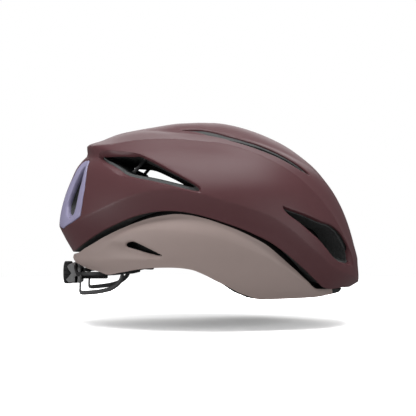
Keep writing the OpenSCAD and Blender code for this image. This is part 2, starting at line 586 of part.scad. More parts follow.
// Dial: knurled rubber disc on the pinion's shaft
module dial_knob() color([0.2, 0.2, 0.2]) difference() {
    at_x(dial_x - dial_t) cylinder(r = dial_r, h = dial_t, $fn = 64);
    for (i = [0 : 15]) at_x(dial_x - dial_t - 1) rotate(i*22.5 + 11.25)
        translate([dial_r + 0.7, 0, 0]) cylinder(r = 1.5, h = dial_t + 2, $fn = 16);
    at_x(dial_x - dial_t + 2) cylinder(r = shaft_r + 0.05, h = dial_t, $fn = 32);
    at_x(dial_x - dial_t - 1) cylinder(r = 0.9, h = 6, $fn = 24);
    at_x(dial_x - dial_t - 1) cylinder(r = 2.1, h = 2, $fn = 32);
}
backlash = 0.3;
module gear_outline() {
    tip_r = pitch_r + gear_module*0.95;
    root_r = pitch_r - 1.15*gear_module;
    tooth = rack_pitch/2 - backlash;
    union() {
        circle(r = root_r, $fn = 40);
        for (i = [0 : pinion_teeth - 1]) rotate(i*360/pinion_teeth) polygon([
            [root_r*0.9, -tooth*0.62], [root_r + 0.1, -tooth*0.62], [pitch_r, -tooth/2], [tip_r, -tooth*0.2],
            [tip_r, tooth*0.2], [pitch_r, tooth/2], [root_r + 0.1, tooth*0.62], [root_r*0.9, tooth*0.62]]);
    }
}
// The tooth that points up meets a gap of the upper rack
module pinion() color([0.75, 0.75, 0.72]) difference() {
    union() {
        at_x(rack_x) linear_extrude(rack_t) rotate(90) gear_outline();
        at_x(dial_x - dial_t + 2.2) cylinder(r = shaft_r, h = rack_x - dial_x + dial_t - 2.2 + rack_t + 1.3, $fn = 32);
    }
    at_x(dial_x - dial_t + 1) cylinder(r = 0.9, h = 6, $fn = 24);
}
module dial_screw() color([0.5, 0.5, 0.5]) {
    at_x(dial_x - dial_t + 0.4) cylinder(r = 2, h = 0.55, $fn = 32);
    at_x(dial_x - dial_t + 0.95) cylinder(r = 0.85, h = 4.5, $fn = 24);
}

// Rack: the tooth gap at y = 0 takes the pinion's tooth; up = 1 above the pinion, -1 below
rack_from = -3;
rack_to = 14;
module rack_outline(from, to) {
    tip = -0.95*gear_module;
    root = 1.15*gear_module;
    tooth = rack_pitch/2 - backlash;
    translate([from, root]) square([to - from, rack_back]);
    for (i = [-3 : 7]) {
        y = (i + 0.5)*rack_pitch;
        if (y - rack_pitch/2 > from && y + rack_pitch/2 < to)
            polygon([[y - tooth*0.72, root + 0.1], [y - tooth*0.68, root], [y - tooth/2, 0], [y - tooth*0.18, tip],
                     [y + tooth*0.18, tip], [y + tooth/2, 0], [y + tooth*0.68, root], [y + tooth*0.72, root + 0.1]]);
    }
}
// Arm: a rack inside the housing, then a strip that runs forward under the foam into the cavity
travel = 8;
// Paths drawn for a housing at x = -118 with its dial 18.5 above the floor, and their shift to it
path_shift = [housing_x + 118, 0, dial_height - 18.5];
arm_path = [[-119, 31], [-116.2, 36.5], [-113, 41], [-106, 45.5], [-97, 48.5], [-86, 48.5], [-76, 46.2], [-66, 45.5]];
arm_rise = [19, 17.8, 17.3, 17.3, 17.6, 18.4, 20, 22];
arm_high = [0.9, 1, 1, 1, 1, 0.95, 0.9, 0.8];
module arm(side) {
    rack_mid = dial_height + side*(pitch_r + 1.15*gear_module + rack_back/2);
    points = concat([[rack_x + rack_t/2, -side*(rack_to - 0.6), rack_mid],
                     [rack_x + rack_t/2, -side*(housing_w + travel + 0.8), rack_mid]],
        [for (i = [0 : len(arm_path) - 1]) [arm_path[i][0], -side*arm_path[i][1], arm_rise[i]] + path_shift]);
    high = concat([rack_back, rack_back], [for (h = arm_high) h*arm_h]);
    color([0.14, 0.14, 0.14]) union() {
        translate([rack_x, 0, dial_height]) rotate([90, 0, 90]) linear_extrude(rack_t)
            scale([-side, side]) translate([0, pitch_r]) rack_outline(rack_from, rack_to);
        strip(points, arm_t, high);
    }
}

// Lower rail: a bent wire loop below the arm, from its rear bend to its front end
low_path = [[-114.6, 40.8, 13.8], [-115.4, 40.2, 9], [-115.2, 40, 4.2], [-113.6, 40.2, 1.9], [-110, 41, 1.6],
            [-100, 43, 3], [-91, 44.4, 4.9], [-86.5, 44.8, 7], [-82, 45, 10.2], [-79, 45, 14], [-77.2, 44.7, 16.8]];
low_wide = [0.6, 0.6, 0.6, 0.8, 1, 1, 1, 1, 0.9, 0.8, 0.7];
module tube(points, radii) {
    n = len(points);
    rings = [for (i = [0 : n - 1])
        let(t = along(points, i), u = unit(cross(t, [0, 1, 0.01])), v = cross(t, u))
        [for (k = [0 : sides - 1]) points[i] + radii[i]*(u*cos(k*360/sides) + v*sin(k*360/sides))]];
    loft(rings, [points[0], points[n - 1]], flip = true);
}
module lower_rail(side) color([0.16, 0.16, 0.16])
    tube([for (p = low_path) [p[0], -side*p[1], p[2]] + path_shift], [for (w = low_wide) w*rail_r]);

outer_shell();
outer_liner();
bezel(1);  // bezel_right
bezel(-1);  // bezel_left
slot_bridges();
vent_struts();
slip_tethers();
inner_liner();
lower_shell();
brow_pad();
crown_pad(1);  // crown_pad_right
crown_pad(-1);  // crown_pad_left
side_pad(1);  // side_pad_right
side_pad(-1);  // side_pad_left
strap_anchors();
temple_strip(1);  // temple_strip_right
temple_strip(-1);  // temple_strip_left
temple_pins();
height_rail();
rail_screws();
height_stem();
housing_base();
housing_cover();
housing_screws();
dial_knob();
pinion();
dial_screw();
arm(1);  // arm_right
arm(-1);  // arm_left
lower_rail(1);  // lower_rail_right
lower_rail(-1);  // lower_rail_left
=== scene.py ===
"""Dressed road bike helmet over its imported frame: shells, foam, pads, ports and rear cradle."""
import logging
import math
from dataclasses import dataclass
from enum import Enum
from typing import Callable, Optional, Sequence

import bmesh
import bpy
import numpy as np
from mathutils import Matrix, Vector


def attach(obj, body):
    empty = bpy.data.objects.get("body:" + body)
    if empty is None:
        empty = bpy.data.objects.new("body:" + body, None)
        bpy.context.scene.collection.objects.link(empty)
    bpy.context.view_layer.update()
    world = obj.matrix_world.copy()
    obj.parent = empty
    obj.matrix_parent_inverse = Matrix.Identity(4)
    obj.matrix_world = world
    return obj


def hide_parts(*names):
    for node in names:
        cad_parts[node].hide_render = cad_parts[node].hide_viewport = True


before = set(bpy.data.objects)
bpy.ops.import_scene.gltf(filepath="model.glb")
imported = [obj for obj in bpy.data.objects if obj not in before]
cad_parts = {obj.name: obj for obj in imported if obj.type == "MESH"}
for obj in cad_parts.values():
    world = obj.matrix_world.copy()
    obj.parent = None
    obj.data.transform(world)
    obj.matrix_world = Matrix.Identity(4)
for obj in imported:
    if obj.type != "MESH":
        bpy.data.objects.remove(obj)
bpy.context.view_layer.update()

LOG = logging.getLogger("helmet")
MM = 0.001
# Least width in millimetres that is divided by
HAIR = 0.01
Array = np.ndarray
Mesh = bmesh.types.BMesh
Socket = bpy.types.NodeSocket
Field = Callable[[Array], Array]
Pairs = Sequence[tuple[float, float]]
Point = tuple[float, float, float]
# Factor of Y for a shape drawn on the wearer's right, and the side's name
SIDES = ((1, "right"), (-1, "left"))


# Form


class Profile:
    """Smooth curve through a table of pairs, level at both ends."""

    def __init__(self, table: Pairs) -> None:
        """Stores the table.

        Args:
            table: pairs of place and value, in rising order of place.
        """
        self.x, self.y = np.array(table, float).T
        self.slope = np.zeros_like(self.y)
        self.slope[1:-1] = (self.y[2:] - self.y[:-2]) / (self.x[2:] - self.x[:-2])

    def __call__(self, x: Array) -> Array:
        """Value of the curve, held level beyond the table.

        Args:
            x: places to read it at.

        Returns:
            The values.
        """
        u = np.clip(x, self.x[0], self.x[-1])
        i = np.clip(np.searchsorted(self.x, u, side="right") - 1, 0, len(self.x) - 2)
        h = self.x[i + 1] - self.x[i]
        t = (u - self.x[i]) / h
        return (
            (2 * t**3 - 3 * t**2 + 1) * self.y[i]
            + (t**3 - 2 * t**2 + t) * h * self.slope[i]
            + (3 * t**2 - 2 * t**3) * self.y[i + 1]
            + (t**3 - t**2) * h * self.slope[i + 1]
        )


def angles(d: Array) -> tuple[Array, Array]:
    """Azimuth from the front towards the wearer's right and elevation, in degrees.

    Args:
        d: rows of directions from the ball centre.

    Returns:
        The azimuths and the elevations.
    """
    flat = np.hypot(d[:, 0], d[:, 1])
    return np.degrees(np.arctan2(-d[:, 1], d[:, 0])), np.degrees(np.arctan2(d[:, 2], flat))


def direction(a: Array, e: Array) -> Array:
    """Unit directions for azimuths and elevations in degrees."""
    a, e = np.radians(a), np.radians(e)
    return np.stack([np.cos(e) * np.cos(a), -np.cos(e) * np.sin(a), np.sin(e)], axis=-1)


def mirrored(d: Array) -> Array:
    """The same directions seen on the other side of the helmet."""
    return d * np.array([1.0, -1.0, 1.0])


# Radius at which outlines are laid flat, about that of the upper skin, in millimetres
CHART_R = 128.0


class Outline:
    """Closed outline on the helmet, drawn by azimuth and elevation, with a signed distance."""

    # Distance in millimetres up to which the exact distance is worked out
    exact_to = 25.0
    # Nearly upright direction that no outline is centred on
    aside = (0.02, 0.01, 1.0)

    def __init__(self, corners: Pairs, cut: float = 0.22, rounds: int = 1,
                 middle: Optional[tuple[float, float]] = None) -> None:
        """Lays the corners out flat round the outline's middle and rounds them.

        Args:
            corners: azimuth and elevation of each corner, in order.
            cut: share of each side that a pass of corner cutting takes at either end.
            rounds: passes of corner cutting.
            middle: azimuth and elevation of the chart's centre, or None for the corners' mean.
        """
        d = direction(*np.array(corners, float).T)
        c = d.mean(axis=0) if middle is None else direction(*np.array(middle, float))
        self.c = c / np.linalg.norm(c)
        side = np.cross(self.aside, self.c)
        self.u = side / np.linalg.norm(side)
        self.v = np.cross(self.c, self.u)
        p = self.flat(d)
        for _ in range(rounds):
            q = np.roll(p, -1, axis=0)
            p = np.stack([(1 - cut) * p + cut * q, cut * p + (1 - cut) * q], axis=1).reshape(-1, 2)
        self.points = p

    def flat(self, d: Array) -> Array:
        """Lays directions out flat round the outline's middle.

        Args:
            d: unit directions.

        Returns:
            Chart coordinates in millimetres along the surface.
        """
        along = np.clip(d @ self.c, -1, 1)
        t = d - along[:, None] * self.c
        t *= (np.arccos(along) * CHART_R / np.maximum(np.linalg.norm(t, axis=1), 1e-9))[:, None]
        return np.stack([t @ self.u, t @ self.v], axis=1)

    def raised(self, p: Array) -> Array:
        """Turns chart coordinates back into directions.

        Args:
            p: rows of chart coordinates in millimetres.

        Returns:
            Rows of unit directions.
        """
        r = np.linalg.norm(p, axis=1)
        way = (p[:, :1] * self.u + p[:, 1:] * self.v) / np.maximum(r, 1e-9)[:, None]
        w = (r / CHART_R)[:, None]
        return np.cos(w) * self.c + np.sin(w) * way

    def distance(self, d: Array) -> Array:
        """Measures the distance to the outline.

        Args:
            d: unit directions.

        Returns:
            Distances in millimetres, negative inside it.
        """
        q = self.flat(d)
        reach = np.linalg.norm(self.points, axis=1).max()
        out = np.linalg.norm(q, axis=1) - reach
        near = np.nonzero(out < self.exact_to)[0]
        q = q[near]
        a, b = self.points, np.roll(self.points, -1, axis=0)
        ab = b - a
        rel = q[:, None, :] - a[None]
        t = np.clip((rel * ab).sum(2) / (ab * ab).sum(1), 0, 1)
        gap = np.linalg.norm(rel - t[..., None] * ab, axis=2).min(1)
        above = (a[None, :, 1] > q[:, None, 1]) != (b[None, :, 1] > q[:, None, 1])
        slope = ab[:, 0] / np.where(np.abs(ab[:, 1]) < 1e-9, 1e-9, ab[:, 1])
        cross = a[None, :, 0] + (q[:, None, 1] - a[None, :, 1]) * slope[None]
        inside = (above & (q[:, None, 0] < cross)).sum(1) % 2 == 1
        out[near] = np.where(inside, -gap, gap)
        return out

    def both(self, d: Array) -> Array:
        """Distance to the nearer of the outline and its mirror image."""
        return np.minimum(self.distance(d), self.distance(mirrored(d)))

    def loop(self, grow: float, count: int) -> Array:
        """Evenly spaced directions round the outline, moved outwards by a distance.

        Args:
            grow: distance outwards in millimetres.
            count: number of points.

        Returns:
            Rows of unit directions.
        """
        p = np.vstack([self.points, self.points[:1]])
        s = np.concatenate([[0], np.cumsum(np.linalg.norm(np.diff(p, axis=0), axis=1))])
        t = np.linspace(0, s[-1], count, endpoint=False)
        q = np.stack([np.interp(t, s, p[:, k]) for k in (0, 1)], axis=1)
        if grow:
            tangent = np.roll(q, -1, axis=0) - np.roll(q, 1, axis=0)
            normal = np.stack([tangent[:, 1], -tangent[:, 0]], axis=1)
            area = np.sum(q[:, 0] * np.roll(q[:, 1], -1) - q[:, 1] * np.roll(q[:, 0], -1))
            q = q + np.sign(area) * grow * normal / np.linalg.norm(normal, axis=1)[:, None]
        return self.raised(q)


class Vents:
    """The helmet's openings and creases, by azimuth and elevation on its right side."""

    # Points in millimetres that the walls of the openings run to
    rear_focus = (-45.0, 45.0, 105.5)
    front_focus = (35.0, 0.0, 45.0)
    slot_focus = (0.0, 0.0, 33.0)
    port_focus = (-60.0, -8.0, 88.0)
    slit_focus = (-45.0, 0.0, 40.0)
    # Rear side vent, and the outer edge of the chamfer round it
    rear = Outline([
        (154.5, 40.2), (145.7, 41.3), (138.1, 42.7), (131.6, 44.2), (129.1, 44.0), (118.1, 41.4),
        (108.0, 38.1), (98.7, 34.1), (95.2, 32.1), (95.1, 30.8), (98.4, 31.1), (105.5, 32.3),
        (113.7, 33.4), (120.3, 33.9), (125.7, 34.1), (130.6, 34.4), (133.8, 35.2), (137.3, 36.5),
        (142.7, 37.8), (147.8, 38.6), (151.9, 39.6)])
    rear_edge = Outline([
        (155.5, 40.2), (131.8, 44.5), (129.2, 44.3), (108.0, 38.3), (98.8, 34.3), (94.2, 31.9),
        (94.1, 29.2), (98.3, 29.7), (106.8, 31.1), (119.8, 32.5), (129.9, 33.1), (134.6, 33.4),
        (137.7, 34.3), (145.5, 36.6), (153.7, 38.8)], 0.12)
    # Front side vent, and the outer edge of the chamfer round it
    front = Outline([
        (56.4, 22.6), (53.2, 21.1), (48.9, 19.7), (44.3, 18.0), (37.5, 15.2), (31.4, 13.8), (26.2, 10.6),
        (22.8, 6.4), (20.4, 2.7), (19.6, -2.2), (28.8, -0.7), (32.8, 1.3), (36.3, 4.2), (40.9, 8.9),
        (45.4, 12.4), (49.5, 15.9), (53.7, 18.8), (56.1, 21.4)])
    front_edge = Outline([
        (56.6, 23.0), (53.2, 21.3), (44.1, 18.2), (37.2, 15.4), (31.8, 13.8), (27.1, 10.4), (23.2, 6.2),
        (18.9, 1.8), (16.9, -3.3), (29.3, -1.3), (33.4, 0.9), (36.6, 4.0), (41.2, 8.6), (45.7, 12.2),
        (49.8, 15.7), (54.0, 18.6), (56.4, 21.3)], 0.12)
    # Long top slot: in the foam, wider in the skin, and where it goes on through the ball
    slot = Outline([
        (137.3, 70.3), (106.6, 75.1), (84.0, 71.2), (66.0, 66.5), (53.3, 59.8), (46.4, 56.2), (38.0, 48.5),
        (33.0, 41.2), (29.8, 36.0), (31.8, 36.0), (37.1, 38.9), (44.2, 46.0), (55.1, 53.3), (66.3, 59.6),
        (80.4, 66.9), (105.1, 73.0)])
    slot_edge = Outline([
        (137.3, 70.6), (106.6, 76.5), (84.0, 74.9), (66.0, 70.2), (53.3, 63.0), (46.4, 58.8), (38.0, 50.2),
        (33.0, 42.2), (29.8, 36.1), (31.8, 36.0), (37.1, 39.1), (44.2, 46.5), (55.1, 54.3), (66.3, 61.2),
        (80.4, 68.6), (105.1, 74.3)])
    slot_inner = Outline([
        (54.0, 59.0), (46.4, 55.2), (38.6, 47.6), (35.0, 42.4), (36.6, 41.2), (44.2, 47.0), (55.1, 54.6)])
    # Rear port, and the hole in its frame
    port = Outline([
        (159.8, 37.6), (154.2, 31.9), (151.2, 26.2), (150.0, 20.5), (149.6, 16.0), (155.1, 13.4),
        (163.8, 10.8), (171.5, 11.6), (173.2, 16.0), (171.0, 27.0), (166.5, 36.8)], 0.1)
    port_hole = Outline([
        (160.4, 35.2), (157.4, 29.4), (155.9, 24.1), (155.2, 18.6), (155.6, 16.9), (159.0, 15.2),
        (163.2, 16.6), (165.6, 20.0), (165.4, 28.0), (163.2, 34.6)], 0.12)
    # Slit of the taupe skin
    slit = Outline([
        (129.8, 6.8), (128.5, 8.0), (125.4, 8.6), (121.6, 7.1), (113.0, 3.2), (112.6, 2.6), (113.4, 2.3),
        (119.6, 3.6), (125.6, 5.2), (129.4, 6.0)])
    # Crease round the roof, drawn on the right side and mirrored
    roof_line = [
        (165.3, 40.3), (150.6, 44.5), (140.7, 50.6), (130.6, 55.3), (115.5, 60.0), (99.0, 61.5),
        (82.8, 60.1), (65.6, 53.0), (53.7, 44.5), (44.0, 35.3), (36.8, 26.8), (28.6, 16.4), (22.7, 5.8),
        (16.0, -3.7)]
    roof = Outline(roof_line + [(-a, e) for a, e in reversed(roof_line)], middle=(0, 90))
    # Shoulder crease of the taupe skin
    lower_line = Profile([
        (30, -15.5), (41.7, -10.1), (52.7, -4.4), (68.4, 3.8), (77.3, 7.4), (89, 11.2), (103.7, 13.3),
        (115.2, 13.7), (124.4, 12.2), (131.7, 9.6), (145, 3.0), (160, -3.5), (180, -6)])


@dataclass(frozen=True)
class HelmetForm:
    """Radii of the helmet's skins about the ball centre, in millimetres, as in the solids."""

    # Slip ball and the gaps beside it
    ball_height: float = 33.0
    ball_r: float = 106.0
    slip_gap: float = 1.2
    rim_gap: float = 3.6
    # Reaches of the upper skin, and how squarish its plan is below some degrees under the crown
    brow_reach: float = 138.5
    tail_reach: float = 149.5
    crown_reach: float = 115.3
    side_reach: float = 118.6
    plan_power: float = 2.15
    plan_blend: float = 45.0
    # Raised spine, and the elevation that it starts from
    spine_rise: float = 8.3
    spine_from: float = 10.0
    # Side reach of the lower skin
    low_side_reach: float = 107.2
    # Scoop of the lower skin: its depth, its azimuths, how it comes in and fades, the elevation of its middle
    # line with its climb and bow, and its half height with its spread
    scoop_depth: float = 3.0
    scoop_front: float = 112.0
    scoop_rear: float = 150.0
    scoop_entry: float = 6.0
    scoop_fade: float = 0.7
    scoop_low: float = 2.2
    scoop_climb: float = 1.2
    scoop_bow: float = 6.0
    scoop_half: float = 1.2
    scoop_spread: float = 4.0
    # Head cavity
    cavity_length: float = 194.0
    cavity_width: float = 153.0
    cavity_rise: float = 93.0

    # Upper skin: share of each reach beyond the crown's, by elevation
    front_share = Profile([
        (-30, 0.55), (-20, 0.81), (-10, 1), (0, 0.84), (10, 0.7), (20, 0.61), (30, 0.53), (38, 0.44),
        (48, 0.25), (57, 0.12), (66, 0.03), (78, -0.01), (90, 0)])
    rear_share = Profile([
        (-20, 0.31), (0, 0.55), (8, 0.68), (13, 0.77), (22, 0.84), (28.8, 0.88), (33.9, 0.922),
        (37.3, 0.905), (39.5, 0.878), (40.9, 0.965), (42.4, 1.035), (47, 0.89), (54, 0.72), (60.5, 0.53),
        (67.5, 0.3), (75, 0.14), (82, 0.03), (90, 0)])
    side_share = Profile([
        (-20, -2.8), (-10, -2.2), (0, -1.6), (10, -1), (20, -0.25), (30, 0.82), (38, 1), (45, 0.88),
        (60, 0.4), (75, 0.1), (90, 0)])
    # Lower skin: millimetres added to its side reach at the front, the rear and the sides, by elevation
    low_front = Profile([(-30, 10), (-20, 13), (-12, 17.5), (0, 21), (12, 20), (30, 16)])
    low_rear = Profile([(-20, 4), (-6, 8), (-2, 13), (3, 18), (12, 21), (30, 22)])
    low_side = Profile([(-30, -10), (-17, -8), (-3, -6), (5, -3.2), (13, 0), (24, 1.5), (30, 2)])
    # Elevation of the upper rim, by azimuth
    rim_line = Profile([
        (0, -11.9), (11, -11.6), (21, -11.4), (34, -11.5), (41, -7.5), (47.5, -2.6), (55, 3.2), (62, 8.1),
        (69.5, 12), (76.5, 15.1), (84, 17.8), (91, 20), (98, 21.6), (105, 22.3), (112.5, 22),
        (119.5, 20.6), (126, 18.4), (133.5, 15), (142, 11), (153, 6.2), (163.5, 3.2), (180, 2.2)])
    # Lower band of the upper skin: its height in degrees and how far it turns in, by azimuth
    band_line = Profile([
        (0, 2.3), (20, 4.9), (35, 9), (45, 10.3), (60, 10.5), (80, 8.5), (105, 7.8), (150, 7.2),
        (180, 9.5)])
    band_drop = Profile([(0, 6), (25, 5), (45, 4), (90, 4), (120, 4.5), (150, 6), (180, 9)])
    # Height in millimetres of the helmet's lower edge, by azimuth
    foot_line = Profile([
        (0, 2.2), (12, 2), (24, 1.2), (32, 0.2), (36, 0), (64, 0), (70, 3), (75, 6), (81, 11.5),
        (87, 16.5), (93, 22), (99, 26), (108, 27.6), (122, 26.3), (135, 22.3), (143, 20), (149, 22.2),
        (156, 23.6), (161, 25.2), (166, 28), (180, 29)])
    # Spine: share of its rise and its half width, by the place along X
    spine_share = Profile([
        (-75, 0), (-64, 0.1), (-45, 0.55), (-20, 0.96), (0, 1), (34, 0.84), (67, 0.6), (90, 0.27),
        (110, 0)])
    spine_half = Profile([(-75, 26), (-30, 31), (0, 35), (40, 39), (65, 39), (87, 33), (110, 16)])

    def oval(self, a: Array, e: Array, long: Array, side: Array) -> Array:
        """Plan outline, a plain ellipse at the crown.

        Args:
            a: azimuths in degrees.
            e: elevations in degrees.
            long: half lengths in millimetres.
            side: half widths in millimetres.

        Returns:
            Radii in millimetres.
        """
        n = 2 + (self.plan_power - 2) * np.minimum(1, (90 - e) / self.plan_blend)
        c, s = np.abs(np.cos(np.radians(a))), np.abs(np.sin(np.radians(a)))
        return ((c / long) ** n + (s / side) ** n) ** (-1 / n)

    def skin(self, d: Array) -> Array:
        """Outer radius of the upper shell.

        Args:
            d: unit directions.

        Returns:
            Radii in millimetres.
        """
        a, e = angles(d)
        f = np.abs(a)
        share = np.where(f < 90, self.front_share(e) * (self.brow_reach - self.crown_reach),
                         self.rear_share(e) * (self.tail_reach - self.crown_reach))
        side = self.crown_reach + self.side_share(e) * (self.side_reach - self.crown_reach)
        band = self.band_line(f)
        r = self.oval(a, e, self.crown_reach + share, side)
        r = r - self.band_drop(f) * np.maximum(0, (self.rim_line(f) + band - e) / band)
        x, y = r * d[:, 0], r * d[:, 1]
        t = np.abs(y) / self.spine_half(x)
        spine = self.spine_rise * self.spine_share(x) * (1 - t * t)
        return r + np.where((e > self.spine_from) & (t < 1), spine, 0)

    def low_skin(self, d: Array) -> Array:
        """Outer radius of the lower shell.

        Args:
            d: unit directions.

        Returns:
            Radii in millimetres.
        """
        a, e = angles(d)
        f = np.abs(a)
        add = np.where(f < 90, self.low_front(e), self.low_rear(e))
        r = self.oval(a, e, self.low_side_reach + add, self.low_side_reach + self.low_side(e))
        u = (f - self.scoop_front) / (self.scoop_rear - self.scoop_front)
        v = np.clip(u, 0, 1)
        mid = self.scoop_low + self.scoop_climb * v + self.scoop_bow * v * (1 - v)
        dish = self.scoop_depth * (1 - v) ** self.scoop_fade * np.minimum(1, v * self.scoop_entry)
        dish = dish * np.maximum(0, 1 - ((e - mid) / (self.scoop_half + self.scoop_spread * v)) ** 2)
        return r - np.where((u > 0) & (u < 1), dish, 0)

    def cavity(self, d: Array) -> Array:
        """Inner radius of the head cavity.

        Args:
            d: unit directions.

        Returns:
            Radii in millimetres.
        """
        a, e = angles(d)
        ra, re = np.radians(a), np.radians(e)
        along, across = 2 * np.cos(ra) / self.cavity_length, 2 * np.sin(ra) / self.cavity_width
        plan = 1 / np.sqrt(along**2 + across**2)
        dome = 1 / np.sqrt((np.cos(re) / plan) ** 2 + (np.sin(re) / self.cavity_rise) ** 2)
        return np.where(e < 0, plan / np.cos(re), dome)

    def rim(self, d: Array) -> Array:
        """Degrees above the upper shell's lower edge."""
        a, e = angles(d)
        return e - self.rim_line(np.abs(a))

    def band(self, d: Array) -> Array:
        """Degrees above the crease where the upper shell's lower band turns in."""
        a, e = angles(d)
        return e - self.rim_line(np.abs(a)) - self.band_line(np.abs(a))

    def ledge(self, a: Array) -> Array:
        """The lower shell's upper edge before the slip joints are allowed for.

        Args:
            a: azimuths in degrees.

        Returns:
            Elevations in degrees.
        """
        f = np.abs(a)
        tilt = np.arctan((self.rim_line(f + 1) - self.rim_line(f - 1)) / 2)
        rim = self.rim_line(f)
        return rim - np.degrees(self.rim_gap / np.cos(tilt) / self.low_skin(direction(a, rim)))

    def above_foot(self, d: Array, radius: Field) -> Array:
        """Height over the helmet's lower edge in millimetres, of points at a radius."""
        a, _ = angles(d)
        return radius(d) * d[:, 2] + self.ball_height - np.maximum(0, self.foot_line(np.abs(a)))

    def points(self, d: Array, r: Array) -> Array:
        """Positions in metres of directions and radii in millimetres."""
        return (d * r[:, None] + np.array([0, 0, self.ball_height])) * MM


FORM = HelmetForm()


# Meshes


class DirectionMesh:
    """Fine ball mesh that is cut along level lines and then laid on a radius function."""

    # Share of an edge within which a vertex moves onto the line
    snap = 0.14

    def __init__(self, fineness: int) -> None:
        """Starts from a ball.

        Args:
            fineness: subdivisions of the ball.
        """
        self.bm = bmesh.new()
        bmesh.ops.create_icosphere(self.bm, subdivisions=fineness, radius=1.0)

    def ways(self) -> Array:
        """Unit directions of all vertices."""
        co = np.array([v.co[:] for v in self.bm.verts])
        return co / np.linalg.norm(co, axis=1)[:, None]

    def cut(self, level: Field) -> None:
        """Runs an edge loop along the zero line of a field.

        Args:
            level: the field, a number for each direction.
        """
        bm = self.bm
        bm.verts.ensure_lookup_table()
        bm.verts.index_update()
        d = self.ways()
        value = level(d)
        verts, edges = list(bm.verts), list(bm.edges)
        ends = np.array([[e.verts[0].index, e.verts[1].index] for e in edges])
        va, vb = value[ends[:, 0]], value[ends[:, 1]]
        crossing = va * vb < 0
        t = np.where(crossing, va / np.where(va == vb, 1, va - vb), 0.5)
        on_line = set()
        for k in np.nonzero(crossing & ((t < self.snap) | (t > 1 - self.snap)))[0]:
            i, j = ends[k] if t[k] < 0.5 else ends[k][::-1]
            if i in on_line or j in on_line:
                continue
            w = min(t[k], 1 - t[k])
            verts[i].co = (1 - w) * verts[i].co + w * verts[j].co
            value[i] = 0.0
            on_line.add(i)
        line = [verts[i] for i in on_line]
        va, vb = value[ends[:, 0]], value[ends[:, 1]]
        for k in np.nonzero(va * vb < 0)[0]:
            w = va[k] / (va[k] - vb[k])
            _, vert = bmesh.utils.edge_split(edges[k], verts[ends[k][0]], float(w))
            line.append(vert)
        bmesh.ops.connect_verts(bm, verts=line, check_degenerate=False)
        for v in bm.verts:
            v.co.normalize()

    def keep(self, level: Field) -> None:
        """Deletes every face whose middle has a negative field.

        Args:
            level: the field, a number for each direction.
        """
        faces = list(self.bm.faces)
        mid = np.array([f.calc_center_median()[:] for f in faces])
        value = level(mid / np.linalg.norm(mid, axis=1)[:, None])
        gone = [faces[k] for k in np.nonzero(value < 0)[0]]
        bmesh.ops.delete(self.bm, geom=gone, context="FACES")

    def thick(self, outer: Field, inner: Field, bend: Optional[Field] = None) -> Mesh:
        """Closes the sheet into a wall between two radius functions.

        Args:
            outer: outer radius in millimetres in each direction.
            inner: inner radius in millimetres in each direction.
            bend: new directions for the inner side, or None to keep them.

        Returns:
            The closed mesh, in metres.
        """
        bm = self.bm
        old = list(bm.verts)
        out = bmesh.ops.extrude_face_region(bm, geom=bm.faces[:], use_keep_orig=True)
        new = [v for v in out["geom"] if isinstance(v, bmesh.types.BMVert)]
        for verts, radius in ((old, inner), (new, outer)):
            d = np.array([v.co[:] for v in verts])
            d /= np.linalg.norm(d, axis=1)[:, None]
            if bend is not None and verts is old:
                d = bend(d)
            for v, p in zip(verts, FORM.points(d, radius(d))):
                v.co = p
        bmesh.ops.recalc_face_normals(bm, faces=bm.faces[:])
        return bm


def finish_mesh(bm: Mesh, name: str, look: bpy.types.Material,
                sharp: float = 34.0) -> bpy.types.Object:
    """Turns a bmesh into a smooth-shaded object with sharp corners.

    Args:
        bm: the mesh, which is freed.
        name: object name.
        look: its material.
        sharp: angle in degrees from which an edge stays sharp.

    Returns:
        The new object.
    """
    limit = math.radians(sharp)
    for f in bm.faces:
        f.smooth = True
    for e in bm.edges:
        e.smooth = not (len(e.link_faces) == 2 and e.calc_face_angle(0.0) > limit)
    mesh = bpy.data.meshes.new(name)
    bm.to_mesh(mesh)
    bm.free()
    mesh.materials.append(look)
    obj = bpy.data.objects.new(name, mesh)
    bpy.context.scene.collection.objects.link(obj)
    LOG.info("%s: %d faces", name, len(mesh.polygons))
    return obj


def outward(faces: Sequence[bmesh.types.BMFace]) -> None:
    """Turns a closed, evenly wound set of faces so that they point outwards.

    Args:
        faces: the faces.
    """
    volume = 0.0
    for f in faces:
        v = [x.co for x in f.verts]
        volume += sum(v[0].dot(v[k].cross(v[k + 1])) for k in range(1, len(v) - 1))
    if volume < 0:
        for f in faces:
            f.normal_flip()


def loft(bm: Mesh, rings: Sequence[Array], closed: bool = False) -> None:
    """Adds a tube of quads through rings of points and closes it.

    Args:
        bm: mesh to add to.
        rings: arrays of the same number of points in metres.
        closed: joins the last ring to the first, otherwise both ends get a fan.
    """
    rows = [[bm.verts.new(p) for p in ring] for ring in rings]
    n = len(rows[0])
    faces = []
    for lo, hi in list(zip(rows, rows[1:])) + ([(rows[-1], rows[0])] if closed else []):
        faces += [bm.faces.new([lo[j], lo[(j + 1) % n], hi[(j + 1) % n], hi[j]]) for j in range(n)]
    if not closed:
        for row, step in ((rows[0], -1), (rows[-1], 1)):
            mid = bm.verts.new(sum((v.co for v in row), Vector()) / n)
            faces += [bm.faces.new([row[j], row[(j + step) % n], mid]) for j in range(n)]
    outward(faces)


# Least angle in degrees of an edge that is softened, and how full the softening is
BEVEL_FROM = 25.0
BEVEL_PROFILE = 0.6


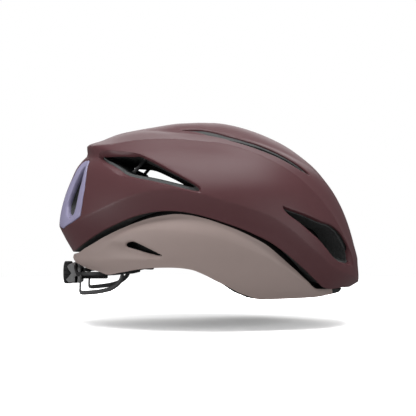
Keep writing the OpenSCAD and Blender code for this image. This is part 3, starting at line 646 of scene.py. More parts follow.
def prism(bm: Mesh, outline: Sequence[Sequence[float]], shift: Sequence[float],
          bevel: float = 0.0) -> None:
    """Adds a straight solid with softened edges.

    Args:
        bm: mesh to add to.
        outline: flat closed outline in millimetres.
        shift: vector in millimetres from one end to the other.
        bevel: width of the softened edges in millimetres.
    """
    lo = [bm.verts.new(Vector(q) * MM) for q in outline]
    hi = [bm.verts.new((Vector(q) + Vector(shift)) * MM) for q in outline]
    n = len(lo)
    faces = [bm.faces.new(lo[::-1]), bm.faces.new(hi)]
    faces += [bm.faces.new([lo[j], lo[(j + 1) % n], hi[(j + 1) % n], hi[j]]) for j in range(n)]
    outward(faces)
    if bevel:
        for f in faces:
            f.normal_update()
        limit = math.radians(BEVEL_FROM)
        edges = {e for f in faces for e in f.edges if e.calc_face_angle(0.0) > limit}
        bmesh.ops.bevel(bm, geom=list(edges), offset=bevel * MM, segments=2, profile=BEVEL_PROFILE,
                        affect="EDGES", clamp_overlap=True, material=-1)


# Direction that no turned piece's axis runs along
ASKEW = (0.31, 0.77, 0.55)


def lathe(bm: Mesh, profile: Pairs, spot: Sequence[float], axis: Sequence[float],
          count: int = 48) -> None:
    """Adds a turned solid.

    Args:
        bm: mesh to add to.
        profile: radius and place along the axis in millimetres, from one end to the other.
        spot: point that the places are counted from.
        axis: direction of the axis.
        count: points round it.
    """
    w = np.array(axis, float) / np.linalg.norm(axis)
    u = np.cross(w, ASKEW)
    u /= np.linalg.norm(u)
    t = np.linspace(0, 2 * np.pi, count, endpoint=False)
    ring = np.cos(t)[:, None] * u + np.sin(t)[:, None] * np.cross(w, u)
    loft(bm, [(np.array(spot) + h * w + r * ring) * MM for r, h in profile])


def smooth_path(points: Sequence, steps: int = 5) -> Array:
    """Draws a smooth curve through rows of numbers.

    Args:
        points: the rows, or plain numbers.
        steps: points from one row to the next.

    Returns:
        Rows of the curve.
    """
    p = np.array(points, float)
    p = p[:, None] if p.ndim == 1 else p
    q = np.vstack([2 * p[0] - p[1], p, 2 * p[-1] - p[-2]])
    rows = []
    for k in range(len(p) - 1):
        a, b, c, d = q[k : k + 4]
        for t in np.arange(steps) / steps:
            bend = (2 * a - 5 * b + 4 * c - d) * t**2
            rows.append(b + 0.5 * ((c - a) * t + bend + (3 * b - a - 3 * c + d) * t**3))
    return np.array(rows + [p[-1]])


# Rounded end of a bar: share of the section, and the distance from the tip as a share of its half thickness
BAR_END = ((0.55, 0.0), (0.85, 0.18), (1.0, 0.6))


def sweep(bm: Mesh, path: Array, thick: Array, high: Array, square: float = 0.45,
          count: int = 20, up: Sequence[float] = (0.0, 0.0, 1.0)) -> None:
    """Adds a bar with a rounded section and rounded ends along a path.

    Args:
        bm: mesh to add to.
        path: rows of points in millimetres.
        thick: thickness at each point.
        high: height at each point, along up.
        square: 1 for an oval section, towards 0 for a boxy one.
        count: points round the section.
        up: direction of the height.
    """
    path = np.array(path, float)
    thick, high = (np.broadcast_to(np.asarray(x, float).ravel(), (len(path),)) for x in (thick, high))
    t = np.linspace(0, 2 * np.pi, count, endpoint=False)
    c = np.sign(np.cos(t)) * np.abs(np.cos(t)) ** square / 2
    k = np.sign(np.sin(t)) * np.abs(np.sin(t)) ** square / 2
    way = np.gradient(path, axis=0)
    rings = []
    last = len(path) - 1
    for i, p in enumerate(path):
        w = way[i] / np.linalg.norm(way[i])
        n = np.cross(w, up)
        n /= np.linalg.norm(n)
        section = c[:, None] * thick[i] * n + k[:, None] * high[i] * np.cross(n, w)
        r = min(thick[i], high[i]) / 2
        steps = ((1.0, 0.0),)
        if i == 0:
            steps = BAR_END
        elif i == last:
            steps = tuple((share, -back) for share, back in reversed(BAR_END))
        rings += [(p + back * r * w + share * section) * MM for share, back in steps]
    loft(bm, rings)


def rounded(half_y: float, half_z: float, r: float, steps: int = 8) -> Array:
    """Draws a rectangle with round corners, centred on the origin.

    Args:
        half_y: half width.
        half_z: half height.
        r: corner radius.
        steps: points of each corner.

    Returns:
        Rows of the outline.
    """
    t = np.radians(np.linspace(0, 90, steps))
    rows = []
    for k, (sy, sz) in enumerate(((1, 1), (-1, 1), (-1, -1), (1, -1))):
        a = t + k * np.pi / 2
        rows += [[sy * (half_y - r) + r * math.cos(x), sz * (half_z - r) + r * math.sin(x)] for x in a]
    return np.array(rows)


class Joining(Enum):
    """What carving does with the second mesh."""

    TAKE = "DIFFERENCE"
    ADD = "UNION"


def carve(obj: bpy.types.Object, cutter: Mesh, joining: Joining = Joining.TAKE) -> None:
    """Takes a closed mesh away from an object, or adds it, for good.

    Args:
        obj: object to cut.
        cutter: closed mesh in metres, which is freed.
        joining: whether the mesh is taken away or added.
    """
    mesh = bpy.data.meshes.new("cutter")
    bmesh.ops.triangulate(cutter, faces=cutter.faces[:])
    cutter.to_mesh(mesh)
    cutter.free()
    tool = bpy.data.objects.new("cutter", mesh)
    bpy.context.scene.collection.objects.link(tool)
    mod = obj.modifiers.new("carve", "BOOLEAN")
    mod.operation, mod.solver, mod.object = joining.value, "MANIFOLD", tool
    bpy.context.view_layer.update()
    done = bpy.data.meshes.new_from_object(obj.evaluated_get(bpy.context.evaluated_depsgraph_get()))
    obj.modifiers.clear()
    old = obj.data
    obj.data = done
    done.name = obj.name
    bpy.data.meshes.remove(old)
    bpy.data.objects.remove(tool)
    bpy.data.meshes.remove(mesh)


# Tunnels: points round the mouth, and how far the plug stands out of it, as a share of the way to the focus
TUNNEL_POINTS = 72
TUNNEL_OUT = 1.14


def tunnel(bm: Mesh, outline: Outline, side: int, focus: Sequence[float], inset: float,
           far: float, radius: Optional[Field] = None) -> None:
    """Adds a closed tapering plug through an outline towards a focus.

    Args:
        bm: mesh to add to.
        outline: the mouth on the upper skin.
        side: 1 for the wearer's right, -1 for the left.
        focus: point in millimetres, on the right side, that the walls run to.
        inset: distance that the mouth is drawn in.
        far: share of the way to the focus that is left at the inner end.
        radius: the skin that the mouth lies on, or None for the upper one.
    """
    d = outline.loop(-inset, TUNNEL_POINTS)
    p = FORM.points(d, (radius or FORM.skin)(d)) / MM
    f = np.array(focus, float)
    rings = [f + k * (p - f) for k in (TUNNEL_OUT, 1.0, 0.5 * (1 + far), far)]
    flip = np.array([1.0, float(side), 1.0])
    loft(bm, [r * flip * MM for r in rings])


# Finishes


def linear(colour: str) -> tuple[float, float, float, float]:
    """Linear colour of an sRGB hex string."""
    parts = [int(colour[i : i + 2], 16) / 255 for i in (1, 3, 5)]
    return tuple([c / 12.92 if c <= 0.04045 else ((c + 0.055) / 1.055) ** 2.4 for c in parts] + [1.0])


def node(tree: bpy.types.NodeTree, kind: str, values: Optional[dict] = None, links: Optional[dict] = None,
         **settings: object) -> bpy.types.Node:
    """Adds a shader node.

    Args:
        tree: node tree to add to.
        kind: node type without the ShaderNode prefix.
        values: constants by socket name.
        links: output sockets by the name of the input that they feed.
        settings: attributes of the node.

    Returns:
        The node.
    """
    made = tree.nodes.new("ShaderNode" + kind)
    for key, value in settings.items():
        setattr(made, key, value)
    for key, value in (values or {}).items():
        made.inputs[key].default_value = value
    for key, out in (links or {}).items():
        tree.links.new(out, made.inputs[key])
    return made


class Grain(Enum):
    """Kind of fine relief a finish has."""

    FILM = "film"
    BEAD = "bead"
    KNIT = "knit"
    MOULDED = "moulded"
    BRUSHED = "brushed"


@dataclass(frozen=True)
class Finish:
    """One real material: its two colours in sRGB, its gloss and its fine relief.

    Painted shade is a black ring over the colour in a range of distances from the ball centre, given by the
    middle of the range and half its width in millimetres.
    """

    name: str
    colour: str
    second: str
    roughness: float
    grain: Grain
    size_mm: float
    relief_mm: float
    metallic: float = 0.0
    sheen: float = 0.0
    specular: float = 0.5
    film: Optional[tuple[float, float]] = None

    # Colour of the painted shade ring
    painted_shade_colour = "#0a0a0a"
    # Width of the seams between beads, as a share of a bead
    bead_seam = 0.22
    # Directions of the knit's two sets of ribs and how wavy each is
    knit_ribs = (("DIAGONAL", 1.2), ("Y", 1.0))
    # How much longer brushed marks are than wide
    brushed_stretch = 9.0
    # How much coarser the drift of the colour is than the grain
    drift = 28
    # How far the roughness strays to either side
    gloss_play = 0.04

    def pattern(self, tree: bpy.types.NodeTree,
                spot: Socket) -> tuple[Socket, Socket]:
        """Adds the nodes of the fine relief.

        Args:
            tree: node tree to add to.
            spot: output with the object coordinates.

        Returns:
            Outputs with the height of the relief and with the share of the second colour.
        """
        scale = 1.0 / (self.size_mm * MM)
        if self.grain is Grain.BEAD:
            cells = node(tree, "TexVoronoi", {"Scale": scale}, {"Vector": spot}, feature="DISTANCE_TO_EDGE")
            seam = cells.outputs["Distance"]
            height = node(tree, "MapRange", {"From Max": self.bead_seam}, {"Value": seam},
                          interpolation_type="SMOOTHSTEP").outputs["Result"]
            beads = node(tree, "TexVoronoi", {"Scale": scale}, {"Vector": spot}).outputs["Color"]
            return height, node(tree, "SeparateColor", {}, {"Color": beads}).outputs["Red"]
        if self.grain is Grain.KNIT:
            ribs = [node(tree, "TexWave", {"Scale": scale / 2, "Distortion": wavy, "Detail": 1.0},
                         {"Vector": spot}, bands_direction=way).outputs["Fac"]
                    for way, wavy in self.knit_ribs]
            height = node(tree, "Math", {}, {0: ribs[0], 1: ribs[1]}, operation="MULTIPLY").outputs[0]
            return height, height
        stretch = (1.0, 1.0, self.brushed_stretch if self.grain is Grain.BRUSHED else 1.0)
        bent = node(tree, "Mapping", {"Scale": stretch}, {"Vector": spot}).outputs["Vector"]
        noise = node(tree, "TexNoise", {"Scale": scale, "Detail": 3.0, "Roughness": 0.55}, {"Vector": bent})
        slow = node(tree, "TexNoise", {"Scale": scale / self.drift, "Detail": 2.0}, {"Vector": spot})
        return noise.outputs["Fac"], slow.outputs["Fac"]

    def tint(self, tree: bpy.types.NodeTree, spot: Socket,
             tone: Socket) -> Socket:
        """Adds the nodes of the colour, with black painted shade over a ring of distances where one is given.

        Args:
            tree: node tree to add to.
            spot: output with the object coordinates.
            tone: output with the share of the second colour.

        Returns:
            Output with the colour.
        """
        mix = node(tree, "Mix", {"A": linear(self.colour), "B": linear(self.second)}, {"Factor": tone},
                   data_type="RGBA").outputs["Result"]
        if not self.film:
            return mix
        # Painted shade: black over the colour where the distance from the ball centre lies within the ring
        middle, half = self.film
        centre = (0.0, 0.0, FORM.ball_height * MM)
        reach = node(tree, "VectorMath", {1: centre}, {0: spot}, operation="DISTANCE").outputs["Value"]
        ring = node(tree, "Math", {1: middle * MM, 2: half * MM}, {0: reach}, operation="COMPARE").outputs[0]
        return node(tree, "Mix", {"B": linear(self.painted_shade_colour)}, {"A": mix, "Factor": ring},
                    data_type="RGBA").outputs["Result"]

    def build(self) -> bpy.types.Material:
        """Builds the material with procedural nodes in object coordinates.

        Returns:
            The material.
        """
        mat = bpy.data.materials.new(self.name)
        mat.use_nodes = True
        tree = mat.node_tree
        tree.nodes.clear()
        spot = node(tree, "TexCoord").outputs["Object"]
        height, tone = self.pattern(tree, spot)
        colour = self.tint(tree, spot, tone)
        least, most = self.roughness - self.gloss_play, self.roughness + self.gloss_play
        rough = node(tree, "MapRange", {"To Min": least, "To Max": most}, {"Value": tone}).outputs["Result"]
        bump = node(tree, "Bump", {"Strength": 1.0, "Distance": self.relief_mm * MM}, {"Height": height})
        shader = node(
            tree, "BsdfPrincipled",
            {"Metallic": self.metallic, "Sheen Weight": self.sheen, "Specular IOR Level": self.specular},
            {"Base Color": colour, "Roughness": rough, "Normal": bump.outputs["Normal"]})
        node(tree, "OutputMaterial", {}, {"Surface": shader.outputs["BSDF"]})
        return mat


class Finishes:
    """All finishes, built once."""

    def __init__(self) -> None:
        """Builds every material of the helmet."""
        # Thin polycarbonate film over foam, sprayed matt: a soft broad highlight, no glint
        self.burgundy = Finish("matt_burgundy_polycarbonate", "#663f43", "#694145", 0.43, Grain.FILM, 0.35,
                               0.004, specular=0.4).build()
        # The same film in taupe, a little flatter
        self.taupe = Finish("matt_taupe_polycarbonate", "#c2aea8", "#c6b2ac", 0.55, Grain.FILM, 0.35,
                            0.004, specular=0.4).build()
        # Satin sprayed frames of the rear ports: crisp facets, a cool sheen
        self.purple = Finish("satin_purple_polyamide", "#b3add2", "#b8b2d6", 0.38, Grain.MOULDED, 0.5,
                             0.004).build()
        # Expanded bead foam: packed beads with dark seams, quite dull, with painted shade: a black ring over
        # the ball's surface that darkens the gap between the shells where their shadow falls
        self.foam = Finish("black_expanded_polystyrene", "#343636", "#3c3e3e", 0.62, Grain.BEAD, 3.2,
                           0.16, specular=0.25, film=(106.0, 0.5)).build()
        # The same black beads in the upper half, painted lighter grey: painted light for the walls of its
        # vents, which catch more light
        self.foam_painted_lighter = Finish("upper_expanded_polystyrene_painted_lighter", "#565858", "#5e6060", 0.62, Grain.BEAD, 3.2,
                                 0.16, specular=0.35).build()
        # Glass-filled nylon with a fine spark-eroded texture: an even dull black
        self.nylon = Finish("black_moulded_nylon", "#1d1d1e", "#222223", 0.5, Grain.MOULDED, 0.45,
                            0.012).build()
        # Grey moulded nylon of the dial's housing: the same texture, paler
        self.housing = Finish("grey_moulded_nylon", "#9c9c9d", "#a0a0a1", 0.48, Grain.MOULDED, 0.45,
                              0.012).build()
        # Tacky overmoulded rubber of the dial: dark and without a clear highlight
        self.rubber = Finish("dark_grip_rubber", "#2c2c2d", "#313132", 0.62, Grain.MOULDED, 0.6, 0.02).build()
        # Flexible nylon of the wire-like rails: a smooth mid grey
        self.rail = Finish("grey_flexible_nylon", "#626263", "#676768", 0.45, Grain.MOULDED, 0.5,
                           0.008).build()
        # Knitted cover of the pads: fine ribs and a soft bloom at grazing angles
        self.knit = Finish("black_knitted_polyester", "#151518", "#1e1e22", 0.9, Grain.KNIT, 0.9, 0.12,
                           sheen=0.25, specular=0.2).build()
        # Elastomer of the slip discs: a slightly glossy dark grey
        self.elastomer = Finish("grey_elastomer", "#2f3034", "#34353a", 0.4, Grain.MOULDED, 0.8, 0.01).build()
        # Blackened screws: a dark metallic glint with brushed marks
        self.steel = Finish("blackened_steel", "#4c4c4e", "#58585a", 0.35, Grain.BRUSHED, 0.4, 0.004,
                            metallic=1.0).build()
        # White gear plastic of the pinion: a waxy off-white
        self.acetal = Finish("natural_acetal", "#c9c8c0", "#cfcec6", 0.4, Grain.MOULDED, 0.5, 0.004).build()


# Sub-assemblies


def place(obj: bpy.types.Object, body: str, slot: str, *nodes: str) -> None:
    """Lets a finished piece ride a body and stand in for its solids.

    Args:
        obj: the piece.
        body: name of the body that it rides.
        slot: name of its material slot; not used.
        nodes: solids that it hides.
    """
    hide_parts(*nodes)
    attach(obj, body)


@dataclass
class UpperShell:
    """Burgundy upper skin with its vents, creases and rolled edges."""

    looks: Finishes
    fineness: int = 7
    wall: float = 1.5
    # Edge rolled in round each opening: its width, its depth and the share of the width at its middle loop
    roll: float = 1.3
    roll_depth: float = 0.55
    roll_middle: float = 0.45
    # Chamfer round the side vents: its depth, the width at which it is full and its least share
    chamfer: float = 2.6
    chamfer_width: float = 1.3
    chamfer_least: float = 0.15
    # Crease along the roof line, which fades out over some degrees above the lower band
    ridge: float = 1.2
    ridge_width: float = 15.0
    ridge_start: float = 1.0
    ridge_fade: float = 10.0
    # Lower band, turned in below its crease
    turn_in: float = 1.0
    turn_span: float = 7.0

    def openings(self, d: Array) -> Array:
        """Distance to the nearest opening, negative inside one."""
        holes = (Vents.rear, Vents.front, Vents.slot_edge, Vents.port)
        return np.minimum.reduce([hole.both(d) for hole in holes])

    def radius(self, d: Array) -> Array:
        """Outer radius with the creases and the drawn-in edges.

        Args:
            d: unit directions.

        Returns:
            Radii in millimetres.
        """
        r = FORM.skin(d)
        roof = Vents.roof.distance(d)
        ends = np.clip((FORM.band(d) - self.ridge_start) / self.ridge_fade, 0, 1)
        r = r + self.ridge * ends * np.maximum(0, 1 - np.abs(roof) / self.ridge_width) ** 2
        r = r - self.turn_in * np.clip(-FORM.band(d) / self.turn_span, 0, 1)
        for hole, edge in ((Vents.rear, Vents.rear_edge), (Vents.front, Vents.front_edge)):
            near, outer = hole.both(d), edge.both(d)
            width = np.maximum(near - outer, HAIR)
            full = np.clip(width / self.chamfer_width, self.chamfer_least, 1)
            share = np.clip(-outer / width, 0, 1) * full
            r = r - self.chamfer * np.where(outer < 0, share, 0)
        near = self.openings(d)
        return r - self.roll_depth * np.clip(1 - near / self.roll, 0, 1) ** 2

    def build(self) -> None:
        """Builds and places the shell."""
        sheet = DirectionMesh(self.fineness)
        sheet.cut(FORM.rim)
        sheet.keep(FORM.rim)
        for level in (FORM.band, Vents.roof.distance, Vents.rear_edge.both, Vents.front_edge.both):
            sheet.cut(level)
        for gap in (self.roll, self.roll * self.roll_middle, 0.0):
            sheet.cut(lambda d, gap=gap: self.openings(d) - gap)
        sheet.keep(self.openings)
        bm = sheet.thick(self.radius, lambda d: self.radius(d) - self.wall)
        obj = finish_mesh(bm, "upper_shell", self.looks.burgundy)
        place(obj, "outer", "upper_skin", "outer_shell")


@dataclass
class UpperFoam:
    """Bead foam of the upper half with tunnels behind its vents."""

    looks: Finishes
    fineness: int = 6
    # Depth of the foam below the outer skin
    play: float = 1.65
    # Depth and width of the step round the side vents, and round the slots and ports
    vent_step: tuple[float, float] = (2.6, 4.5)
    slot_step: tuple[float, float] = (0.6, 1.5)
    # Inset of each tunnel's mouth, and the share of the way to its focus that is left at its inner end
    rear_tunnel: tuple[float, float] = (0.9, 0.42)
    front_tunnel: tuple[float, float] = (0.9, 0.45)
    slot_tunnel: tuple[float, float] = (0.9, 0.8)
    port_tunnel: tuple[float, float] = (-1.0, 0.5)
    # Degrees that the foam ends inside the rim, by azimuth
    set_back = Profile([(0, 1.3), (146, 1.3), (158, 0), (180, 0)])

    def outer(self, d: Array) -> Array:
        """Outer radius just below the skin, drawn in under the vents' chamfers.

        Args:
            d: unit directions.

        Returns:
            Radii in millimetres.
        """
        r = FORM.skin(d) - self.play
        steps = ((Vents.rear, self.vent_step), (Vents.front, self.vent_step),
                 (Vents.slot, self.slot_step), (Vents.port, self.slot_step))
        for hole, (depth, width) in steps:
            r = r - depth * np.clip(1 - hole.both(d) / width, 0, 1)
        return r

    def above(self, d: Array) -> Array:
        """Degrees above the foam's lower edge."""
        return FORM.rim(d) - self.set_back(np.abs(angles(d)[0]))

    def build(self) -> None:
        """Builds and places the foam."""
        sheet = DirectionMesh(self.fineness)
        sheet.cut(self.above)
        sheet.keep(self.above)
        socket = FORM.ball_r + FORM.slip_gap
        bm = sheet.thick(self.outer, lambda d: np.full(len(d), socket))
        # The upper foam's finish is the black foam painted lighter, as painted light on its vent walls
        obj = finish_mesh(bm, "upper_foam", self.looks.foam_painted_lighter)
        cutter = bmesh.new()
        for side, _ in SIDES:
            tunnel(cutter, Vents.rear, side, Vents.rear_focus, *self.rear_tunnel)
            tunnel(cutter, Vents.front, side, Vents.front_focus, *self.front_tunnel)
            tunnel(cutter, Vents.slot, side, Vents.slot_focus, *self.slot_tunnel)
            tunnel(cutter, Vents.port_hole, side, Vents.port_focus, *self.port_tunnel)
        carve(obj, cutter)
        place(obj, "outer", "foam", "outer_liner")


@dataclass
class LowerShell:
    """Taupe lower skin with its slit and scoop."""

    looks: Finishes
    fineness: int = 7
    wall: float = 1.5
    # Place of the cut at the brow, and the elevation above which no skin is needed
    trim_x: float = 109.5
    crown_cut: float = 45.0
    # Part above the shoulder crease, drawn in to clear the ball and the upper rim: its depths, its gap to the
    # ball, the azimuths where it comes and goes, and how it curves
    shoulder: float = 3.2
    front_shoulder: float = 0.25
    tuck: float = 5.5
    tuck_gap: float = 0.7
    tuck_span: tuple[float, float, float, float] = (36.0, 56.0, 125.0, 155.0)
    tuck_power: float = 1.6
    least_rise: float = 0.5
    # Limits of the slip joints and the clearance that is left to them, in degrees
    yaw: float = 1.5
    pitch: float = 0.8
    spare: float = 0.15
    # Fuller tail: millimetres by elevation, and the azimuths that it comes in between
    tail_fill = Profile([
        (-12, 0), (-6, 0.5), (-3.8, 1.8), (-1.8, 3.3), (-0.3, 3.3), (0.7, 2.2), (1.4, 0.6), (3, 0)])
    tail_from: tuple[float, float] = (140.0, 168.0)
    # Edge rolled in round the slit
    roll: float = 1.2
    roll_depth: float = 0.6

    def top_depth(self, a: Array) -> Array:
        """Depth that the skin is drawn in at its upper edge.

        Args:
            a: azimuths in degrees.

        Returns:
            Depths in millimetres.
        """
        f = np.abs(a)
        skin = FORM.low_skin(direction(a, FORM.ledge(a)))
        rise, full, start, end = self.tuck_span
        rear = 1 - np.clip((f - start) / (end - start), 0, 1)
        front = np.clip((f - rise) / (full - rise), 0, 1)
        room = np.clip(skin - FORM.ball_r - self.tuck_gap, 0, self.tuck)
        low = self.front_shoulder + (1 - self.front_shoulder) * front
        return np.maximum(np.minimum(self.shoulder, room) * rear * low, room * rear * front)

    def top(self, a: Array) -> Array:
        """Upper edge, as near to the upper rim as the slip joints let it come.

        Args:
            a: azimuths in degrees.

        Returns:
            Elevations in degrees.
        """
        f = np.abs(a)
        slope = np.abs(FORM.rim_line(f + 1) - FORM.rim_line(f - 1)) / 2
        steep = np.sqrt(1 + slope**2)
        moves = (self.yaw * slope + self.pitch * np.abs(np.cos(np.radians(a)))) / steep
        gap = np.degrees(FORM.rim_gap / FORM.low_skin(direction(a, FORM.rim_line(f))))
        return FORM.ledge(a) + np.maximum(0, gap - moves - self.spare) * steep

    def radius(self, d: Array) -> Array:
        """Outer radius: drawn in above the crease and at the slit, filled out at the tail.

        Args:
            d: unit directions.

        Returns:
            Radii in millimetres.
        """
        a, e = angles(d)
        line = Vents.lower_line(np.abs(a))
        top = FORM.ledge(a)
        share = np.clip((e - line) / np.maximum(top - line, self.least_rise), 0, 1)
        rolled = np.clip(1 - Vents.slit.both(d) / self.roll, 0, 1) ** 2
        start, end = self.tail_from
        tail = self.tail_fill(e) * np.clip((np.abs(a) - start) / (end - start), 0, 1)
        drawn = self.top_depth(a) * share**self.tuck_power
        return FORM.low_skin(d) + tail - drawn - self.roll_depth * rolled

    def below_top(self, d: Array) -> Array:
        """Degrees below the upper edge."""
        a, e = angles(d)
        return self.top(a) - e

    def crease(self, d: Array) -> Array:
        """Degrees above the shoulder crease."""
        a, e = angles(d)
        return e - Vents.lower_line(np.abs(a))

    def foot(self, d: Array) -> Array:
        """Height over the lower edge."""
        return FORM.above_foot(d, FORM.low_skin)

    def brow(self, d: Array) -> Array:
        """Distance behind the cut at the brow."""
        return self.trim_x - FORM.low_skin(d) * d[:, 0]

    def build(self) -> None:
        """Builds and places the shell."""
        sheet = DirectionMesh(self.fineness)
        sheet.keep(lambda d: self.crown_cut - angles(d)[1])
        for level in (self.below_top, self.foot, self.brow):
            sheet.cut(level)
            sheet.keep(level)
        sheet.cut(self.crease)
        for gap in (self.roll, 0.0):
            sheet.cut(lambda d, gap=gap: Vents.slit.both(d) - gap)
        sheet.keep(Vents.slit.both)
        bm = sheet.thick(self.radius, lambda d: self.radius(d) - self.wall)
        obj = finish_mesh(bm, "lower_skin_shell", self.looks.taupe)
        place(obj, "inner", "lower_skin", "lower_shell")


@dataclass
class PortBezels:
    """Purple frames of the two rear ports, sloping in to the opening."""

    looks: Finishes
    count: int = 120
    inset: float = 0.3
    sharp: float = 28.0
    # Rings from the outside in: share of the way from the frame's outline to its hole, depth below the skin
    # and distance sunk towards the focus
    section: tuple[Point, ...] = (
        (0.0, 0.2, 6.5), (0.0, 0.5, 0.0), (0.05, 0.05, 0.0), (0.14, 0.0, 0.0), (0.9, 1.6, 0.0),
        (0.98, 1.9, 0.0), (1.0, 2.5, 0.0), (1.0, 2.5, 3.4), (0.6, 2.5, 7.0))

    def rings(self) -> list[Array]:
        """Rings of the right frame.

        Returns:
            Arrays of points in millimetres.
        """
        outer = Vents.port.loop(-self.inset, self.count)
        hole = Vents.port_hole.loop(0.0, self.count)
        shift = int(np.argmin(np.linalg.norm(hole - outer[0], axis=1)))
        hole = np.roll(hole, -shift, axis=0)
        rings = []
        for share, depth, sunk in self.section:
            d = (1 - share) * outer + share * hole
            d /= np.linalg.norm(d, axis=1)[:, None]
            p = FORM.points(d, FORM.skin(d) - depth) / MM
            away = np.array(Vents.port_focus) - p
            rings.append(p + sunk * away / np.linalg.norm(away, axis=1)[:, None])
        return rings

    def build(self) -> None:
        """Builds and places both frames."""
        for side, word in SIDES:
            bm = bmesh.new()
            flip = np.array([1.0, float(side), 1.0])
            loft(bm, [p * flip * MM for p in self.rings()], closed=True)
            obj = finish_mesh(bm, f"port_frame_{word}", self.looks.purple, self.sharp)
            place(obj, "outer", "port_bezel", f"bezel_{word}")


@dataclass
class LowerFoam:
    """Black bead foam of the lower half: the slip ball, the ledge, the lower walls and the head cavity."""

    looks: Finishes
    fineness: int = 6
    # Depth of the foam below the taupe skin
    play: float = 1.65
    # Step from the ball out to the walls, in degrees below the taupe's upper edge
    ledge_run: float = 0.5
    ledge_drop: float = 0.1
    # Lip under the brow: its reach, its half width in azimuth and the elevations between which it swells
    lip: float = 4.2
    lip_half: float = 30.0
    lip_low: tuple[float, float] = (-17.0, -12.5)
    # Search for the lower edge: its start in degrees, its rounds and its steepest sine
    edge_guess: float = -10.0
    edge_rounds: int = 6
    edge_steepest: float = 0.9
    # Elevation up to which the cavity's wall is bent to the lower edge
    flat_to: float = 20.0
    # Tunnels of the openings, given as in the upper foam
    rear_tunnel: tuple[float, float] = (1.4, 0.27)
    front_tunnel: tuple[float, float] = (1.6, 0.45)
    slot_tunnel: tuple[float, float] = (0.4, 0.7)
    port_tunnel: tuple[float, float] = (2.0, 0.3)
    slit_tunnel: tuple[float, float] = (-0.3, 0.86)
    # Azimuth and elevation of the slip discs, and the pocket of each: radius and both ends from the centre
    tethers: tuple[tuple[float, float], ...] = ((70, 38), (290, 38), (150, 66), (210, 66))
    pocket: Point = (10.6, 102.4, 112.0)
    pocket_points: int = 40
    # Pocket of the height rail: back, front, half width and top, and the level that it starts from
    rail_room: tuple[float, float, float, float] = (-99.3, -81.0, 8.6, 57.3)
    rail_low: float = 5.0
    # Notch of an anchor about its place: back, front, half width, bottom and height
    anchor_room: tuple[float, float, float, float, float] = (-14.0, 3.3, 11.3, -4.0, 13.3)
    # Hole of a strip's pin: its radius and both ends along the pin
    pin_hole: Point = (2.3, -2.0, 8.5)
    pin_points: int = 24

    def side(self, d: Array) -> Array:
        """Radius of the walls, just below the taupe skin."""
        return FORM.low_skin(d) - self.play

    def foot(self, d: Array) -> Array:
        """Height over the lower edge."""
        return FORM.above_foot(d, self.side)

    def outer(self, d: Array) -> Array:
        """Outer radius: the slip ball above the ledge, the walls below it, the lip at the brow.

        Args:
            d: unit directions.

        Returns:
            Radii in millimetres.
        """
        shell = LowerShell(self.looks)
        share = np.clip((shell.below_top(d) - self.ledge_drop) / self.ledge_run, 0, 1)
        a, e = angles(d)
        low, high = self.lip_low
        middle = np.clip(1 - (a / self.lip_half) ** 2, 0, 1)
        lip = self.lip * middle * np.clip((e - low) / (high - low), 0, 1)
        return FORM.ball_r + share * (shell.radius(d) - self.play + lip - FORM.ball_r)

    def foot_elevation(self, a: Array, radius: Field) -> Array:
        """Finds where a radius function meets the helmet's lower edge.

        Args:
            a: azimuths in degrees.
            radius: the radius function.

        Returns:
            Elevations in degrees.
        """
        foot = np.maximum(0, FORM.foot_line(np.abs(a))) - FORM.ball_height
        e = np.full(len(a), self.edge_guess)
        for _ in range(self.edge_rounds):
            sine = foot / radius(direction(a, e))
            e = np.degrees(np.arcsin(np.clip(sine, -self.edge_steepest, self.edge_steepest)))
        return e

    def bend(self, d: Array) -> Array:
        """Moves the cavity's lower edge down to the same height as the outer one.

        Args:
            d: unit directions.

        Returns:
            The directions for the inner side.
        """
        a, e = angles(d)
        low = self.foot_elevation(a, self.side)
        new = self.foot_elevation(a, FORM.cavity)
        t = np.clip((e - low) / (self.flat_to - low), 0, None)
        return direction(a, np.where(t < 1, new + t * (self.flat_to - new), e))

    def vents(self, vents: Mesh, crossing: Mesh, slits: Mesh) -> None:
        """Adds the tunnels of the openings.

        Args:
            vents: cutter of all vents but one.
            crossing: cutter of the left rear vent, which meets the right one in the middle.
            slits: cutter of the slits.
        """
        for side, word in SIDES:
            rear = vents if word == "right" else crossing
            tunnel(rear, Vents.rear, side, Vents.rear_focus, *self.rear_tunnel)
            tunnel(vents, Vents.front, side, Vents.front_focus, *self.front_tunnel)
            tunnel(vents, Vents.slot_inner, side, Vents.slot_focus, *self.slot_tunnel)
            tunnel(vents, Vents.port_hole, side, Vents.port_focus, *self.port_tunnel)
            tunnel(slits, Vents.slit, side, Vents.slit_focus, *self.slit_tunnel, FORM.low_skin)

    def seats(self, pockets: Mesh, holes: Mesh) -> None:
        """Adds the seats of the discs, the height rail, the anchors and the pins.

        Args:
            pockets: cutter of the discs' pockets and the rail's.
            holes: cutter of the anchors' notches and the pins' holes.
        """
        r, start, end = self.pocket
        for a, e in self.tethers:
            way = direction(np.array([a]), np.array([e]))[0]
            lathe(pockets, [(r, start), (r, end)], (0, 0, FORM.ball_height), way, self.pocket_points)
        back, front, half, top = self.rail_room
        corners = ((back, -half), (front, -half), (front, half), (back, half))
        prism(pockets, [(x, y, self.rail_low) for x, y in corners], (0, 0, top - self.rail_low))
        back, front, half, low, high = self.anchor_room
        corners = ((back, -half), (front, -half), (front, half), (back, half))
        for spot, (out, along) in Anchors(self.looks).frames():
            foot = np.array([0, 0, low])
            prism(holes, [spot + x * out + y * along + foot for x, y in corners], (0, 0, high))
        r, start, end = self.pin_hole
        for spot, way in TempleStrips(self.looks).pin_frames():
            lathe(holes, [(r, start), (r, end)], spot, way, self.pin_points)

